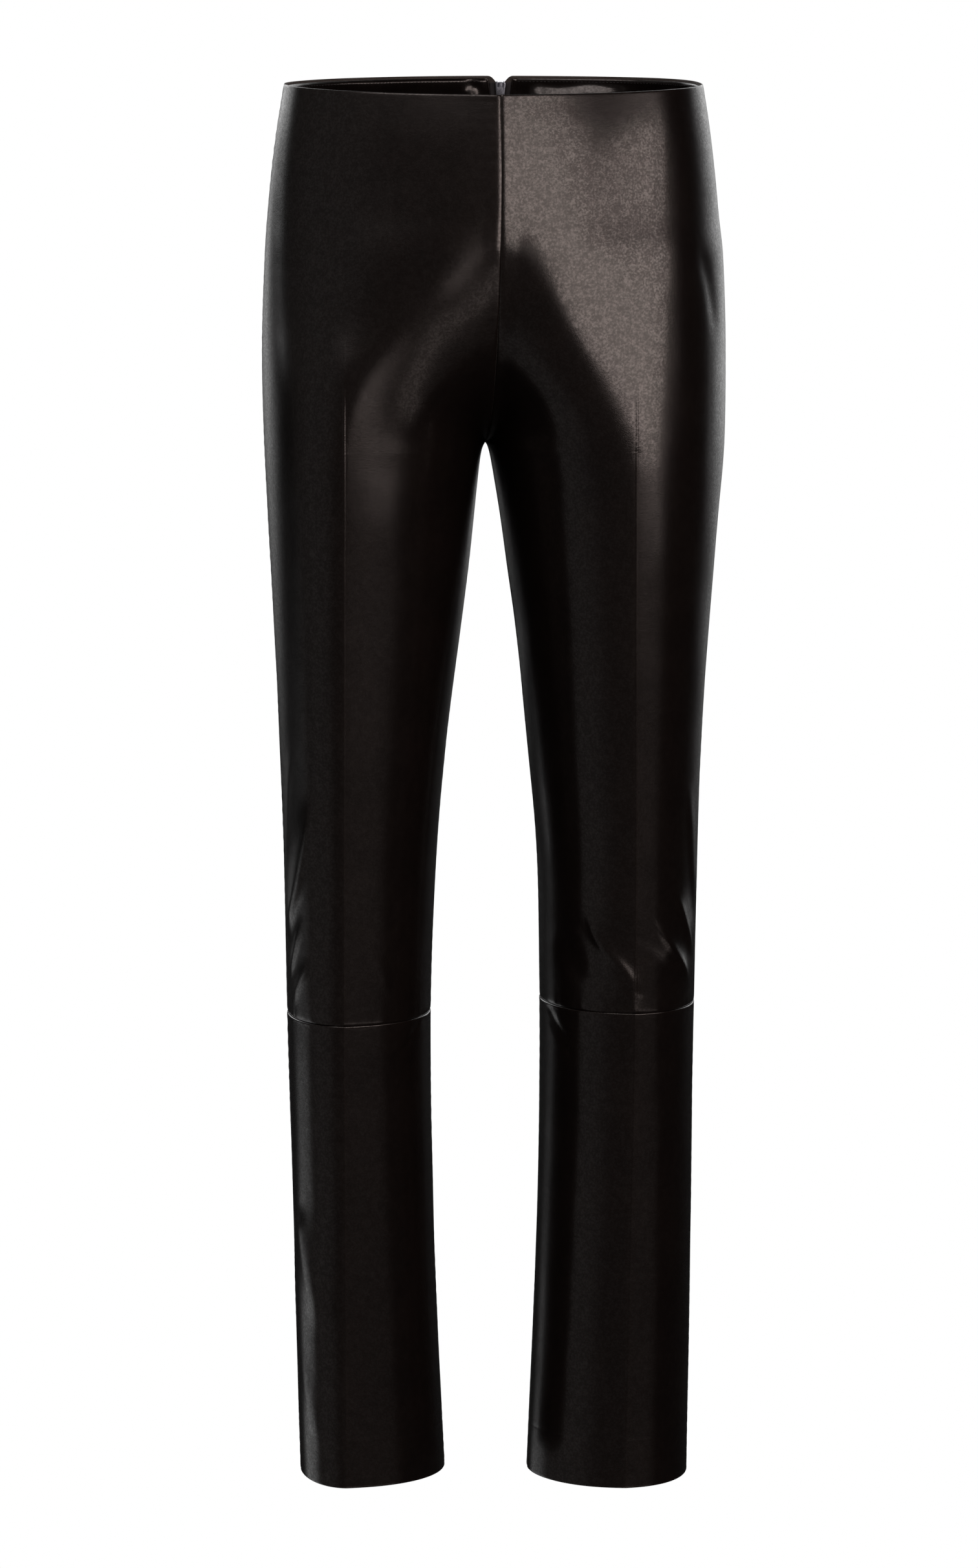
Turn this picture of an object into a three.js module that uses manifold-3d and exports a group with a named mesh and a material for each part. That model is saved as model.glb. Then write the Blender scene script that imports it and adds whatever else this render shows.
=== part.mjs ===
import * as THREE from "three";
import Module from "manifold-3d";

// Leather trousers that fit close at the hip and fall straight to the hem, filled out as if
// worn. Millimetres, Z up. The front faces -Y and +X is the wearer's left. The origin is the
// middle of the waist opening, where the trousers are held.

const wallThickness = 1.2;
const seamGap = 0.3;
const crotchHeight = -251;
const crotchDepth = 30;
const legSides = {
  right: { sign: -1, kneeSeam: -652, hem: -983, panelColumns: 12 },
  left: { sign: 1, kneeSeam: -645, hem: -986, panelColumns: 16 },
};
const panelFaces = {
  front: { sign: -1, rise: 150, creaseTop: -165, creaseFull: -240 },
  back: { sign: 1, rise: 112, creaseTop: -270, creaseFull: -350 },
};

// Outer edge of each leg from the middle plane and the depth of the front, the back and the
// side seam, a row for each height.
const sections = [
  { z: 0, outerRight: 144.5, outerLeft: 147.3, front: 95, back: 98, side: 0 },
  { z: -30, outerRight: 149.5, outerLeft: 152.2, front: 100, back: 102, side: 1 },
  { z: -60, outerRight: 153.5, outerLeft: 156, front: 104, back: 108, side: 3 },
  { z: -90, outerRight: 156.5, outerLeft: 159, front: 107, back: 114, side: 4 },
  { z: -120, outerRight: 158.5, outerLeft: 162.4, front: 109, back: 119, side: 4 },
  { z: -180, outerRight: 160.5, outerLeft: 164.4, front: 108, back: 122, side: 4 },
  { z: -245, outerRight: 159.5, outerLeft: 163.8, front: 103, back: 115, side: 4 },
  { z: -300, outerRight: 157, outerLeft: 159.5, front: 98, back: 106, side: 2 },
  { z: -380, outerRight: 153, outerLeft: 153, front: 91, back: 96, side: 0 },
  { z: -460, outerRight: 149.5, outerLeft: 148, front: 84, back: 86, side: -2 },
  { z: -540, outerRight: 147, outerLeft: 145.5, front: 78, back: 80, side: -2 },
  { z: -650, outerRight: 145, outerLeft: 143.4, front: 70, back: 74, side: -2 },
  { z: -760, outerRight: 142, outerLeft: 142.3, front: 65, back: 76, side: -2 },
  { z: -880, outerRight: 139.6, outerLeft: 141.3, front: 62, back: 72, side: -2 },
  { z: -986, outerRight: 136.8, outerLeft: 139.7, front: 61, back: 70, side: -2 },
];

// Inner edge of each leg below the crotch and the depth of the inside-leg seam.
const innerLegs = [
  { z: crotchHeight, right: 3, left: -3, depth: 30 },
  { z: -300, right: 8, left: 4.3, depth: 24 },
  { z: -340, right: 12.6, left: 9.8, depth: 19 },
  { z: -380, right: 18, left: 15, depth: 15 },
  { z: -460, right: 28.6, left: 22.8, depth: 9 },
  { z: -540, right: 35.8, left: 29.6, depth: 8 },
  { z: -650, right: 40, left: 32, depth: 8 },
  { z: -760, right: 38.9, left: 31.4, depth: 8 },
  { z: -880, right: 35.2, left: 27.4, depth: 8 },
  { z: -986, right: 30, left: 23, depth: 8 },
];
const archWidth = 3;

// How far the fullest line of each face has moved from the middle seam to the leg's crease.
const crestLines = [
  { z: 0, frontRight: 0, frontLeft: 0, back: 0 },
  { z: -60, frontRight: 0.04, frontLeft: 0.04, back: 0.15 },
  { z: -95, frontRight: 0.14, frontLeft: 0.15, back: 0.36 },
  { z: -150, frontRight: 0.46, frontLeft: 0.44, back: 0.62 },
  { z: -200, frontRight: 0.84, frontLeft: 0.71, back: 0.8 },
  { z: -250, frontRight: 0.97, frontLeft: 0.9, back: 0.92 },
  { z: -310, frontRight: 1, frontLeft: 0.99, back: 0.99 },
  { z: -360, frontRight: 1, frontLeft: 1, back: 1 },
  { z: -986, frontRight: 1, frontLeft: 1, back: 1 },
];

// Just above the crotch a web spans the gap between the round thighs.
const web = { height: 35, power: 8, sharper: 60, sharpHeight: 6 };

const creasePlaces = [
  { z: 0, frontRight: 107.5, frontLeft: 93, backRight: 78, backLeft: 78 },
  { z: -250, frontRight: 107.5, frontLeft: 93, backRight: 78, backLeft: 78 },
  { z: -650, frontRight: 107.5, frontLeft: 96, backRight: 78, backLeft: 78 },
  { z: -986, frontRight: 106.5, frontLeft: 91, backRight: 76, backLeft: 76 },
];
const crease = { height: 1.4, spread: 12 };
const creaseColumnStart = -60;
const creaseColumnEnd = -180;
const middleRidge = { height: 3.2, spread: 25, full: -78, end: -140 };
const middleSeamShift = { start: -60, distance: 3 };

// The waist edge dips at the front and rises at the back, and the dip fades out downwards.
const waistEdge = { frontDip: 7.5, backRise: 5.5, fadeHeight: 110, reach: 98 };

// The back of the waist hangs a little over to the wearer's left.
const backSway = { distance: 12.5, depth: 80, end: -230 };

// The largest folds: along is the distance from the crease over the leather, outwards.
// Negative heights are troughs.
const folds = [
  { side: "left", face: "front", along: -30, z: -588, toAlong: -2, toZ: -634, width: 5, height: 2 },
  { side: "left", face: "front", along: 19, z: -590, toAlong: 47, toZ: -622, width: 5, height: 2.2 },
  { side: "left", face: "front", along: -62, z: -598, toAlong: -38, toZ: -622, width: 6, height: -2 },
  { side: "left", face: "front", along: 36, z: -566, toAlong: 56, toZ: -598, width: 6, height: 1.6 },
  { side: "right", face: "front", along: 0, z: -164, toAlong: -80, toZ: -190, width: 29, height: -2.6 },
  { side: "right", face: "front", along: -5, z: -300, toAlong: -45, toZ: -298, width: 32, height: 1.8 },
  { side: "right", face: "front", along: 24, z: -505, toAlong: 64, toZ: -585, width: 7, height: 1.6 },
  { side: "right", face: "front", along: 50, z: -796, toAlong: 18, toZ: -862, width: 9, height: 1.5 },
  { side: "left", face: "back", along: -52, z: -618, toAlong: 30, toZ: -634, width: 8, height: -2.4 },
  { side: "left", face: "back", along: -30, z: -590, toAlong: 56, toZ: -598, width: 8, height: -1.8 },
  { side: "right", face: "back", along: -46, z: -624, toAlong: 38, toZ: -640, width: 8, height: -2.4 },
  { side: "right", face: "back", along: -58, z: -602, toAlong: 22, toZ: -594, width: 8, height: -1.8 },
  { side: "left", face: "back", along: -66, z: -262, toAlong: -6, toZ: -290, width: 9, height: -2.2 },
  { side: "right", face: "back", along: -66, z: -264, toAlong: -10, toZ: -286, width: 9, height: -2.2 },
];
const foldEnd = 9;

// Rows of points in the panels above the knee, closest where the middle seam turns under.
const hipRows = [0, -28, -46, -68, -92, -120, -146, -169, -189, -206, -221, -232];
const crotchRows = [10, 4, 0, -4, -12, -27, -48, -78].map((rise) => crotchHeight + rise);
const thighRows = [-365, -405, -445, -482, -515, -545, -570, -590, -606, -620, -633];
const lowerRowStep = 38;
const lowerColumns = 11;

// The back panels' corners are cut away round the zip's slider.
const zipNotch = [
  { z: 0, half: 10.4 },
  { z: -1.5, half: 6 },
  { z: -4, half: 3 },
  { z: -6, half: 1.5 },
  { z: -13, half: 1.3 },
  { z: -16, half: seamGap / 2 },
];

// What lies inside the back panels reaches from one height to another and keeps to one side of
// the middle seam.
const layerGap = 0.45;
const facing = { top: -1.5, bottom: -46, edge: 8, thickness: 1 };
const zipColumn = 12;
const zip = { top: -4, bottom: -169, tapeEdge: 7.6, tapeThickness: 0.7 };
const coil = { outerEdge: 2.3, innerEdge: 0.4, thickness: 1.8 };
const slider = { width: 7.2, height: 10, thickness: 3.2, slotWidth: 0.9, slotDepth: 4, slotPlace: 1.7 };
const sliderHeight = -8;
const sliderEnd = sliderHeight - slider.height / 2 - 1;
const bridge = { width: 1.4, hole: 1.2, ring: 1.1, pivot: 1.3 };
const pull = { length: 24, topWidth: 4.6, endWidth: 6, thickness: 1.2, bar: 1.1 };
const pullHole = { width: 2, end: 4 };

const leather = new THREE.MeshStandardMaterial({ color: 0x0d0c0d, roughness: 0.34, metalness: 0 });
const tapeCloth = new THREE.MeshStandardMaterial({ color: 0x0b0b0d, roughness: 0.85, metalness: 0 });
const coilPlastic = new THREE.MeshStandardMaterial({ color: 0x111114, roughness: 0.45, metalness: 0 });
const zipMetal = new THREE.MeshStandardMaterial({ color: 0x8d95a3, roughness: 0.32, metalness: 1 });

function clamp(value, low, high) {
  return Math.min(Math.max(value, low), high);
}

function smoothStep(edge0, edge1, value) {
  const t = clamp((value - edge0) / (edge1 - edge0), 0, 1);
  return t * t * (3 - 2 * t);
}

// Smooth curve through one column of a table whose rows go downwards: cubic pieces with each
// row's slope taken from its neighbours.
function curveOf(rows, column) {
  const last = rows.length - 1;
  const slopes = rows.map((_, i) => {
    const above = rows[Math.max(i - 1, 0)];
    const below = rows[Math.min(i + 1, last)];
    return (below[column] - above[column]) / (below.z - above.z);
  });
  return (z) => {
    let i = 0;
    while (i < last - 1 && z < rows[i + 1].z) i += 1;
    const span = rows[i + 1].z - rows[i].z;
    const t = clamp((z - rows[i].z) / span, 0, 1);
    const start = rows[i][column] * (1 + 2 * t) * (1 - t) ** 2 + slopes[i] * span * t * (1 - t) ** 2;
    const end = rows[i + 1][column] * t * t * (3 - 2 * t) - slopes[i + 1] * span * t * t * (1 - t);
    return start + end;
  };
}

const outerOf = { right: curveOf(sections, "outerRight"), left: curveOf(sections, "outerLeft") };
const innerOf = { right: curveOf(innerLegs, "right"), left: curveOf(innerLegs, "left") };
const crestDepthOf = { front: curveOf(sections, "front"), back: curveOf(sections, "back") };
const crestShareOf = {
  frontright: curveOf(crestLines, "frontRight"),
  frontleft: curveOf(crestLines, "frontLeft"),
  backright: curveOf(crestLines, "back"),
  backleft: curveOf(crestLines, "back"),
};
const sideDepthOf = curveOf(sections, "side");
const innerDepthOf = curveOf(innerLegs, "depth");
const creaseOf = {
  frontright: curveOf(creasePlaces, "frontRight"),
  frontleft: curveOf(creasePlaces, "frontLeft"),
  backright: curveOf(creasePlaces, "backRight"),
  backleft: curveOf(creasePlaces, "backLeft"),
};

// Distance of a leg's inner edge, or of the middle seam above the crotch, from the middle plane.
function innerEdge(side, z) {
  if (z >= crotchHeight) {
    const share = clamp((z - middleSeamShift.start) / (crotchHeight - middleSeamShift.start), 0, 1);
    return -legSides[side].sign * middleSeamShift.distance * share;
  }
  return innerOf[side](z) + archWidth * (1 - Math.exp((z - crotchHeight) / archWidth));
}

// Height of every fold of a panel at a point of it: a bell across the fold, and its ends taper.
function foldHeight(side, face, along, z) {
  let height = 0;
  for (const fold of folds) {
    if (fold.side !== side || fold.face !== face) continue;
    const runAlong = fold.toAlong - fold.along;
    const runDown = fold.toZ - fold.z;
    const length = Math.hypot(runAlong, runDown);
    const past = ((along - fold.along) * runAlong + (z - fold.z) * runDown) / length;
    const beside = ((along - fold.along) * runDown - (z - fold.z) * runAlong) / length;
    const taper = smoothStep(-foldEnd, foldEnd, past) * smoothStep(-foldEnd, foldEnd, length - past);
    height += fold.height * taper * Math.exp(-0.5 * (beside / fold.width) ** 2);
  }
  return height;
}

// Share of the way from the crest's depth to the seam's. Above the crotch it grows as if the seam
// still lay as deep as the crotch, and levels off softly at 1.
function webShare(share, t, over, turned) {
  if (over <= 0) return share;
  const deeper = 1 / Math.max(1 - turned, 0.02) - 1;
  const steep = 1 + deeper * Math.exp(-((over / web.height) ** 2));
  const power = web.power + web.sharper * Math.exp(-over / web.sharpHeight);
  const level = (value) => value / (1 + value ** power) ** (1 / power);
  return level(steep * share) * (1 + (1 / level(steep) - 1) * t ** 4);
}

// One panel's outer line at height z, from the side seam over the crest to the middle seam or
// the inside-leg seam: a quarter ellipse out to the side, and inwards a flat wave that turns
// into a second quarter ellipse as the leg parts from the other one.
function panelLine(side, face, z) {
  const samples = 48;
  const faceSign = panelFaces[face].sign;
  const outer = outerOf[side](z);
  const inner = innerEdge(side, z);
  const share = crestShareOf[face + side](z);
  const creasePlace = creaseOf[face + side](z);
  const crestPlace = share * creasePlace + (1 - share) * inner;
  const crestDepth = faceSign * crestDepthOf[face](z);
  const sideDepth = sideDepthOf(z);
  const above = clamp((z - crotchHeight) / panelFaces[face].rise, 0, 1);
  const turned = Math.sqrt(1 - (1 - above) ** 2);
  const seamDepth = z >= crotchHeight
    ? crotchDepth + (crestDepth - crotchDepth) * turned
    : innerDepthOf(z);
  const legShare = (1 - above ** 2) ** 2;
  const line = [];
  for (let i = 0; i <= samples; i += 1) {
    const angle = (Math.PI / 2) * (1 - i / samples);
    line.push({
      place: crestPlace + (outer - crestPlace) * Math.sin(angle),
      depth: sideDepth + (crestDepth - sideDepth) * Math.cos(angle),
    });
  }
  for (let i = 1; i <= samples; i += 1) {
    const t = i / samples;
    const roundPlace = Math.sin((Math.PI / 2) * t);
    const roundDepth = 1 - Math.cos((Math.PI / 2) * t);
    const flatDepth = (1 - Math.cos(Math.PI * t)) / 2;
    const placeShare = legShare * roundPlace + (1 - legShare) * t;
    const freeShare = legShare * roundDepth + (1 - legShare) * flatDepth;
    const depthShare = webShare(freeShare, t, z - crotchHeight, turned);
    line.push({
      place: crestPlace + (inner - crestPlace) * placeShare,
      depth: crestDepth + (seamDepth - crestDepth) * depthShare,
    });
  }
  line[0].run = 0;
  for (let i = 1; i < line.length; i += 1) {
    const step = Math.hypot(line[i].place - line[i - 1].place, line[i].depth - line[i - 1].depth);
    line[i].run = line[i - 1].run + step;
  }
  const creaseAngle = Math.asin(clamp((creasePlace - crestPlace) / (outer - crestPlace), 0, 1));
  const creaseSample = samples * (1 - creaseAngle / (Math.PI / 2));
  const before = Math.min(Math.floor(creaseSample), samples - 1);
  const sampleRun = line[before + 1].run - line[before].run;
  const creaseRun = line[before].run + sampleRun * (creaseSample - before);
  return { line, creaseRun, fullRun: line[2 * samples].run };
}

// The panel's line with its crease, ridge and folds raised along the line's own normal.
function raisedLine(side, face, z) {
  const base = panelLine(side, face, z);
  const { line, creaseRun, fullRun } = base;
  const { sign, creaseTop, creaseFull } = panelFaces[face];
  const creaseShare = smoothStep(creaseTop, creaseFull, z);
  const ridgeShare = face === "front" ? smoothStep(middleRidge.end, middleRidge.full, z) : 0;
  const points = line.map((point, i) => {
    const before = line[Math.max(i - 1, 0)];
    const after = line[Math.min(i + 1, line.length - 1)];
    const length = Math.hypot(after.place - before.place, after.depth - before.depth);
    const along = creaseRun - point.run;
    const height =
      crease.height * creaseShare * Math.exp(-Math.abs(along) / crease.spread) +
      middleRidge.height * ridgeShare * Math.exp((point.run - fullRun) / middleRidge.spread) +
      foldHeight(side, face, along, z);
    return {
      place: point.place + (height * sign * (after.depth - before.depth)) / length,
      depth: point.depth - (height * sign * (after.place - before.place)) / length,
      run: point.run,
    };
  });
  return { ...base, points };
}

// A point of the panel's outer surface, run being its distance from the side seam.
function surfacePoint(side, raised, run, z) {
  const { points } = raised;
  let i = 0;
  while (i < points.length - 2 && points[i + 1].run < run) i += 1;
  const t = clamp((run - points[i].run) / (points[i + 1].run - points[i].run), 0, 1);
  const place = points[i].place + (points[i + 1].place - points[i].place) * t;
  const depth = points[i].depth + (points[i + 1].depth - points[i].depth) * t;
  const lean = clamp(depth / waistEdge.reach, -1.2, 1.2);
  const lift =
    (lean * (waistEdge.backRise + waistEdge.frontDip)) / 2 +
    (lean * lean * (waistEdge.backRise - waistEdge.frontDip)) / 2;
  const fade = clamp(1 + z / waistEdge.fadeHeight, 0, 1) ** 2;
  return new THREE.Vector3(legSides[side].sign * place, depth, z + lift * fade);
}

// Distance that a panel's last column keeps from the middle seam.
function middleTrim(face, z) {
  if (face === "front" || z < zipNotch[zipNotch.length - 1].z) return seamGap / 2;
  let i = 0;
  while (z < zipNotch[i + 1].z) i += 1;
  const t = (z - zipNotch[i].z) / (zipNotch[i + 1].z - zipNotch[i].z);
  return zipNotch[i].half + (zipNotch[i + 1].half - zipNotch[i].half) * t;
}

// Grid of points over a whole panel, with one column kept on the crease and, in a back panel,
// one beside the zip.
function panelGrid(side, face, rows, columns) {
  const creaseColumn = Math.round(columns * 0.42);
  return rows.map((z) => {
    const raised = raisedLine(side, face, z);
    const start = seamGap / 2;
    const end = raised.fullRun - middleTrim(face, z);
    const free = start + (end - start) * 0.45;
    const split = free + (raised.creaseRun - free) * smoothStep(creaseColumnStart, creaseColumnEnd, z);
    const besideZip = Math.min(end, raised.fullRun - zipColumn);
    return Array.from({ length: columns }, (_, c) => {
      let run = c <= creaseColumn
        ? start + ((split - start) * c) / creaseColumn
        : split + ((end - split) * (c - creaseColumn)) / (columns - 1 - creaseColumn);
      if (face === "back" && c === columns - 2) {
        run = besideZip + (run - besideZip) * smoothStep(zip.bottom, crotchHeight, z);
      }
      return surfacePoint(side, raised, run, z);
    });
  });
}

// Unit normals of a grid of points, pointing out of the trousers. At the side seam and the
// inside-leg seam they lie square to the seam, so that the walls meet there edge to edge.
function gridNormals(grid, rows, outwardSign) {
  return grid.map((row, r) => row.map((_, c) => {
    const above = grid[Math.max(r - 1, 0)][c];
    const below = grid[Math.min(r + 1, grid.length - 1)][c];
    const before = row[Math.max(c - 1, 0)];
    const after = row[Math.min(c + 1, row.length - 1)];
    const down = new THREE.Vector3().subVectors(below, above);
    const across = new THREE.Vector3().subVectors(after, before);
    const normal = down.cross(across).multiplyScalar(outwardSign);
    if (c === 0 || (c === row.length - 1 && rows[r] <= crotchHeight)) normal.y = 0;
    return normal.normalize();
  }));
}

function movedGrid(grid, normals, distance) {
  const moved = (point, normal) => point.clone().addScaledVector(normal, distance);
  return grid.map((row, r) => row.map((point, c) => moved(point, normals[r][c])));
}

// Keeps every point on its own side of the middle seam.
function clearOfMiddle(side, grid, rows) {
  const { sign } = legSides[side];
  grid.forEach((row, r) => row.forEach((point) => {
    const nearest = innerEdge(side, rows[r]) + seamGap / 2;
    point.x = sign * Math.max(sign * point.x, nearest);
  }));
}

function signedVolume(positions, index) {
  let volume = 0;
  const [a, b, c] = [new THREE.Vector3(), new THREE.Vector3(), new THREE.Vector3()];
  for (let i = 0; i < index.length; i += 3) {
    a.fromArray(positions, 3 * index[i]);
    b.fromArray(positions, 3 * index[i + 1]);
    c.fromArray(positions, 3 * index[i + 2]);
    volume += a.dot(b.cross(c)) / 6;
  }
  return volume;
}

function swayAt(point) {
  const { distance, depth, end } = backSway;
  return distance * smoothStep(0, depth, point.y) * smoothStep(end, 0, point.z);
}

// Closed wall between an outer and an inner grid of points, swayed at the back.
function wallBetween(outer, inner) {
  const rows = outer.length;
  const columns = outer[0].length;
  const points = [...outer.flat(), ...inner.flat()];
  const positions = points.flatMap((point) => [point.x + swayAt(point), point.y, point.z]);
  const outside = (r, c) => r * columns + c;
  const inside = (r, c) => rows * columns + r * columns + c;
  const index = [];
  const quad = (a, b, c, d) => index.push(a, b, c, a, c, d);
  for (let r = 0; r < rows - 1; r += 1) {
    for (let c = 0; c < columns - 1; c += 1) {
      quad(outside(r, c), outside(r, c + 1), outside(r + 1, c + 1), outside(r + 1, c));
      quad(inside(r, c), inside(r + 1, c), inside(r + 1, c + 1), inside(r, c + 1));
    }
    quad(outside(r, 0), outside(r + 1, 0), inside(r + 1, 0), inside(r, 0));
    const last = columns - 1;
    quad(outside(r, last), inside(r, last), inside(r + 1, last), outside(r + 1, last));
  }
  for (let c = 0; c < columns - 1; c += 1) {
    quad(outside(0, c), inside(0, c), inside(0, c + 1), outside(0, c + 1));
    const last = rows - 1;
    quad(outside(last, c), outside(last, c + 1), inside(last, c + 1), inside(last, c));
  }
  if (signedVolume(positions, index) < 0) index.reverse();
  const geometry = new THREE.BufferGeometry();
  geometry.setAttribute("position", new THREE.Float32BufferAttribute(positions, 3));
  geometry.setIndex(index);
  return geometry;
}

// A trouser panel: its outer grid, and the same grid moved in by the leather's thickness.
function trouserPanel(side, face, rows, columns) {
  const outer = panelGrid(side, face, rows, columns);
  const normals = gridNormals(outer, rows, legSides[side].sign * panelFaces[face].sign);
  const inner = movedGrid(outer, normals, -wallThickness);
  clearOfMiddle(side, outer, rows);
  clearOfMiddle(side, inner, rows);
  return { side, rows, inner, normals, geometry: wallBetween(outer, inner) };
}

// The point of a row of a panel at a distance from the middle seam.
function pointAcross(panel, r, distance) {
  const points = panel.inner[r];
  const { sign } = legSides[panel.side];
  const away = points.map((point) => sign * point.x - innerEdge(panel.side, panel.rows[r]));
  let c = points.length - 2;
  while (c > 0 && away[c] < distance) c -= 1;
  const share = clamp((away[c] - distance) / (away[c] - away[c + 1]), 0, 1);
  return points[c].clone().lerp(points[c + 1], share);
}

// A layer inside a panel, made from the panel's inner points moved in. Each row of it runs from
// the outer distance, or from the side seam where that is not given, to the inner one.
function layerInside(panel, top, bottom, distances, thickness) {
  const near = [];
  const far = [];
  panel.rows.forEach((z, r) => {
    if (z > top || z < bottom) return;
    const { outer, inner } = distances(z);
    const points = panel.inner[r];
    const beyond = outer === undefined ? points.slice(0, -1) : [pointAcross(panel, r, outer)];
    const row = [...beyond, pointAcross(panel, r, inner)];
    const normalOf = (i) => panel.normals[r][outer === undefined ? i : points.length - 2];
    near.push(row.map((point, i) => point.clone().addScaledVector(normalOf(i), -layerGap)));
    far.push(row.map((point, i) => point.clone().addScaledVector(normalOf(i), -layerGap - thickness)));
  });
  return wallBetween(near, far);
}

function named(name, geometry, material) {
  const mesh = new THREE.Mesh(geometry, material);
  mesh.name = name;
  return mesh;
}

function evenRows(top, bottom, step) {
  const count = Math.max(1, Math.round((top - bottom) / step));
  return Array.from({ length: count + 1 }, (_, i) => top + ((bottom - top) * i) / count);
}

function legPieces(side) {
  const { kneeSeam, hem, panelColumns } = legSides[side];
  const upperEnd = kneeSeam + seamGap / 2;
  const lowerStart = kneeSeam - seamGap / 2;
  const notchRows = zipNotch.map((row) => row.z).filter((z) => z < 0);
  const frontRows = [...hipRows, ...crotchRows, ...thighRows, upperEnd];
  const backRows = [...frontRows, ...notchRows].sort((a, b) => b - a);
  const lowerRows = evenRows(lowerStart, hem, lowerRowStep);
  const frontUpper = trouserPanel(side, "front", frontRows, panelColumns);
  const backUpper = trouserPanel(side, "back", backRows, legSides.right.panelColumns);
  const frontLower = trouserPanel(side, "front", lowerRows, lowerColumns);
  const backLower = trouserPanel(side, "back", lowerRows, lowerColumns);
  return [
    named(`front_upper_${side}`, frontUpper.geometry, leather),
    named(`back_upper_${side}`, backUpper.geometry, leather),
    named(`front_lower_${side}`, frontLower.geometry, leather),
    named(`back_lower_${side}`, backLower.geometry, leather),
    named(`facing_back_${side}`, backFacing(backUpper), leather),
    named(`zip_tape_${side}`, zipTape(backUpper), tapeCloth),
    named(`zip_coil_${side}`, zipCoil(backUpper), coilPlastic),
  ];
}

function backFacing(panel) {
  const distances = () => ({ inner: facing.edge });
  return layerInside(panel, facing.top, facing.bottom, distances, facing.thickness);
}

// The tape is narrower beside the slider.
function zipTape(panel) {
  const distances = (z) => ({
    outer: zip.tapeEdge,
    inner: z > sliderEnd ? slider.width / 2 + seamGap : coil.outerEdge + seamGap,
  });
  return layerInside(panel, zip.top, zip.bottom, distances, zip.tapeThickness);
}

function zipCoil(panel) {
  const distances = () => ({ outer: coil.outerEdge, inner: coil.innerEdge });
  return layerInside(panel, sliderEnd, zip.bottom, distances, coil.thickness);
}

function extruded(outline, depth) {
  return new THREE.ExtrudeGeometry(outline, { depth, bevelEnabled: false, curveSegments: 8 });
}

// A flat outline drawn in X and Z, given a thickness along +Y.
function plate(outline, thickness) {
  return extruded(outline, thickness).rotateX(Math.PI / 2).translate(0, thickness, 0);
}

// The slider's body seen from inside: a shield with two channels open at its top.
function sliderBody() {
  const half = slider.width / 2;
  const top = slider.height / 2;
  const inSlot = slider.slotPlace - slider.slotWidth / 2;
  const outSlot = slider.slotPlace + slider.slotWidth / 2;
  const slotEnd = top - slider.slotDepth;
  const outline = new THREE.Shape();
  outline.moveTo(-half, top - 2);
  outline.quadraticCurveTo(-half, top, -outSlot, top);
  outline.lineTo(-outSlot, slotEnd);
  outline.lineTo(-inSlot, slotEnd);
  outline.lineTo(-inSlot, top - 0.8);
  outline.lineTo(inSlot, top - 0.8);
  outline.lineTo(inSlot, slotEnd);
  outline.lineTo(outSlot, slotEnd);
  outline.lineTo(outSlot, top);
  outline.quadraticCurveTo(half, top, half, top - 2);
  outline.lineTo(half * 0.78, -top);
  outline.lineTo(-half * 0.78, -top);
  outline.closePath();
  return plate(outline, slider.thickness).translate(0, -slider.thickness, 0);
}

// The ring on the slider's outer face that carries the pull tab, with its foot in the body.
function sliderBridge() {
  const radius = bridge.hole + bridge.ring;
  const foot = bridge.pivot + wallThickness + seamGap + 1;
  const outline = new THREE.Shape();
  outline.moveTo(-radius, -foot);
  outline.lineTo(radius, -foot);
  outline.lineTo(radius, 0);
  outline.absarc(0, 0, radius, 0, Math.PI, false);
  outline.closePath();
  const hole = new THREE.Path();
  hole.absarc(0, 0, bridge.hole, 0, 2 * Math.PI, true);
  outline.holes.push(hole);
  const ring = extruded(outline, bridge.width).translate(0, 0, -bridge.width / 2);
  return ring.applyMatrix4(new THREE.Matrix4().makeBasis(
    new THREE.Vector3(0, 0, 1),
    new THREE.Vector3(0, 1, 0),
    new THREE.Vector3(-1, 0, 0),
  ));
}

function asSolid(wasm, geometry) {
  const position = geometry.getAttribute("position");
  const keys = new Map();
  const vertices = [];
  const corners = [];
  for (let i = 0; i < position.count; i += 1) {
    const point = [position.getX(i), position.getY(i), position.getZ(i)];
    const key = point.map((value) => value.toFixed(4)).join();
    if (!keys.has(key)) {
      keys.set(key, keys.size);
      vertices.push(...point);
    }
    corners.push(keys.get(key));
  }
  const order = geometry.index ? Array.from(geometry.index.array, (i) => corners[i]) : corners;
  const mesh = new wasm.Mesh({
    numProp: 3,
    vertProperties: new Float32Array(vertices),
    triVerts: new Uint32Array(order),
  });
  return new wasm.Manifold(mesh);
}

function asGeometry(solid) {
  const mesh = solid.getMesh();
  const geometry = new THREE.BufferGeometry();
  geometry.setAttribute("position", new THREE.BufferAttribute(mesh.vertProperties, 3));
  geometry.setIndex(new THREE.BufferAttribute(mesh.triVerts, 1));
  return geometry;
}

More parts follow.
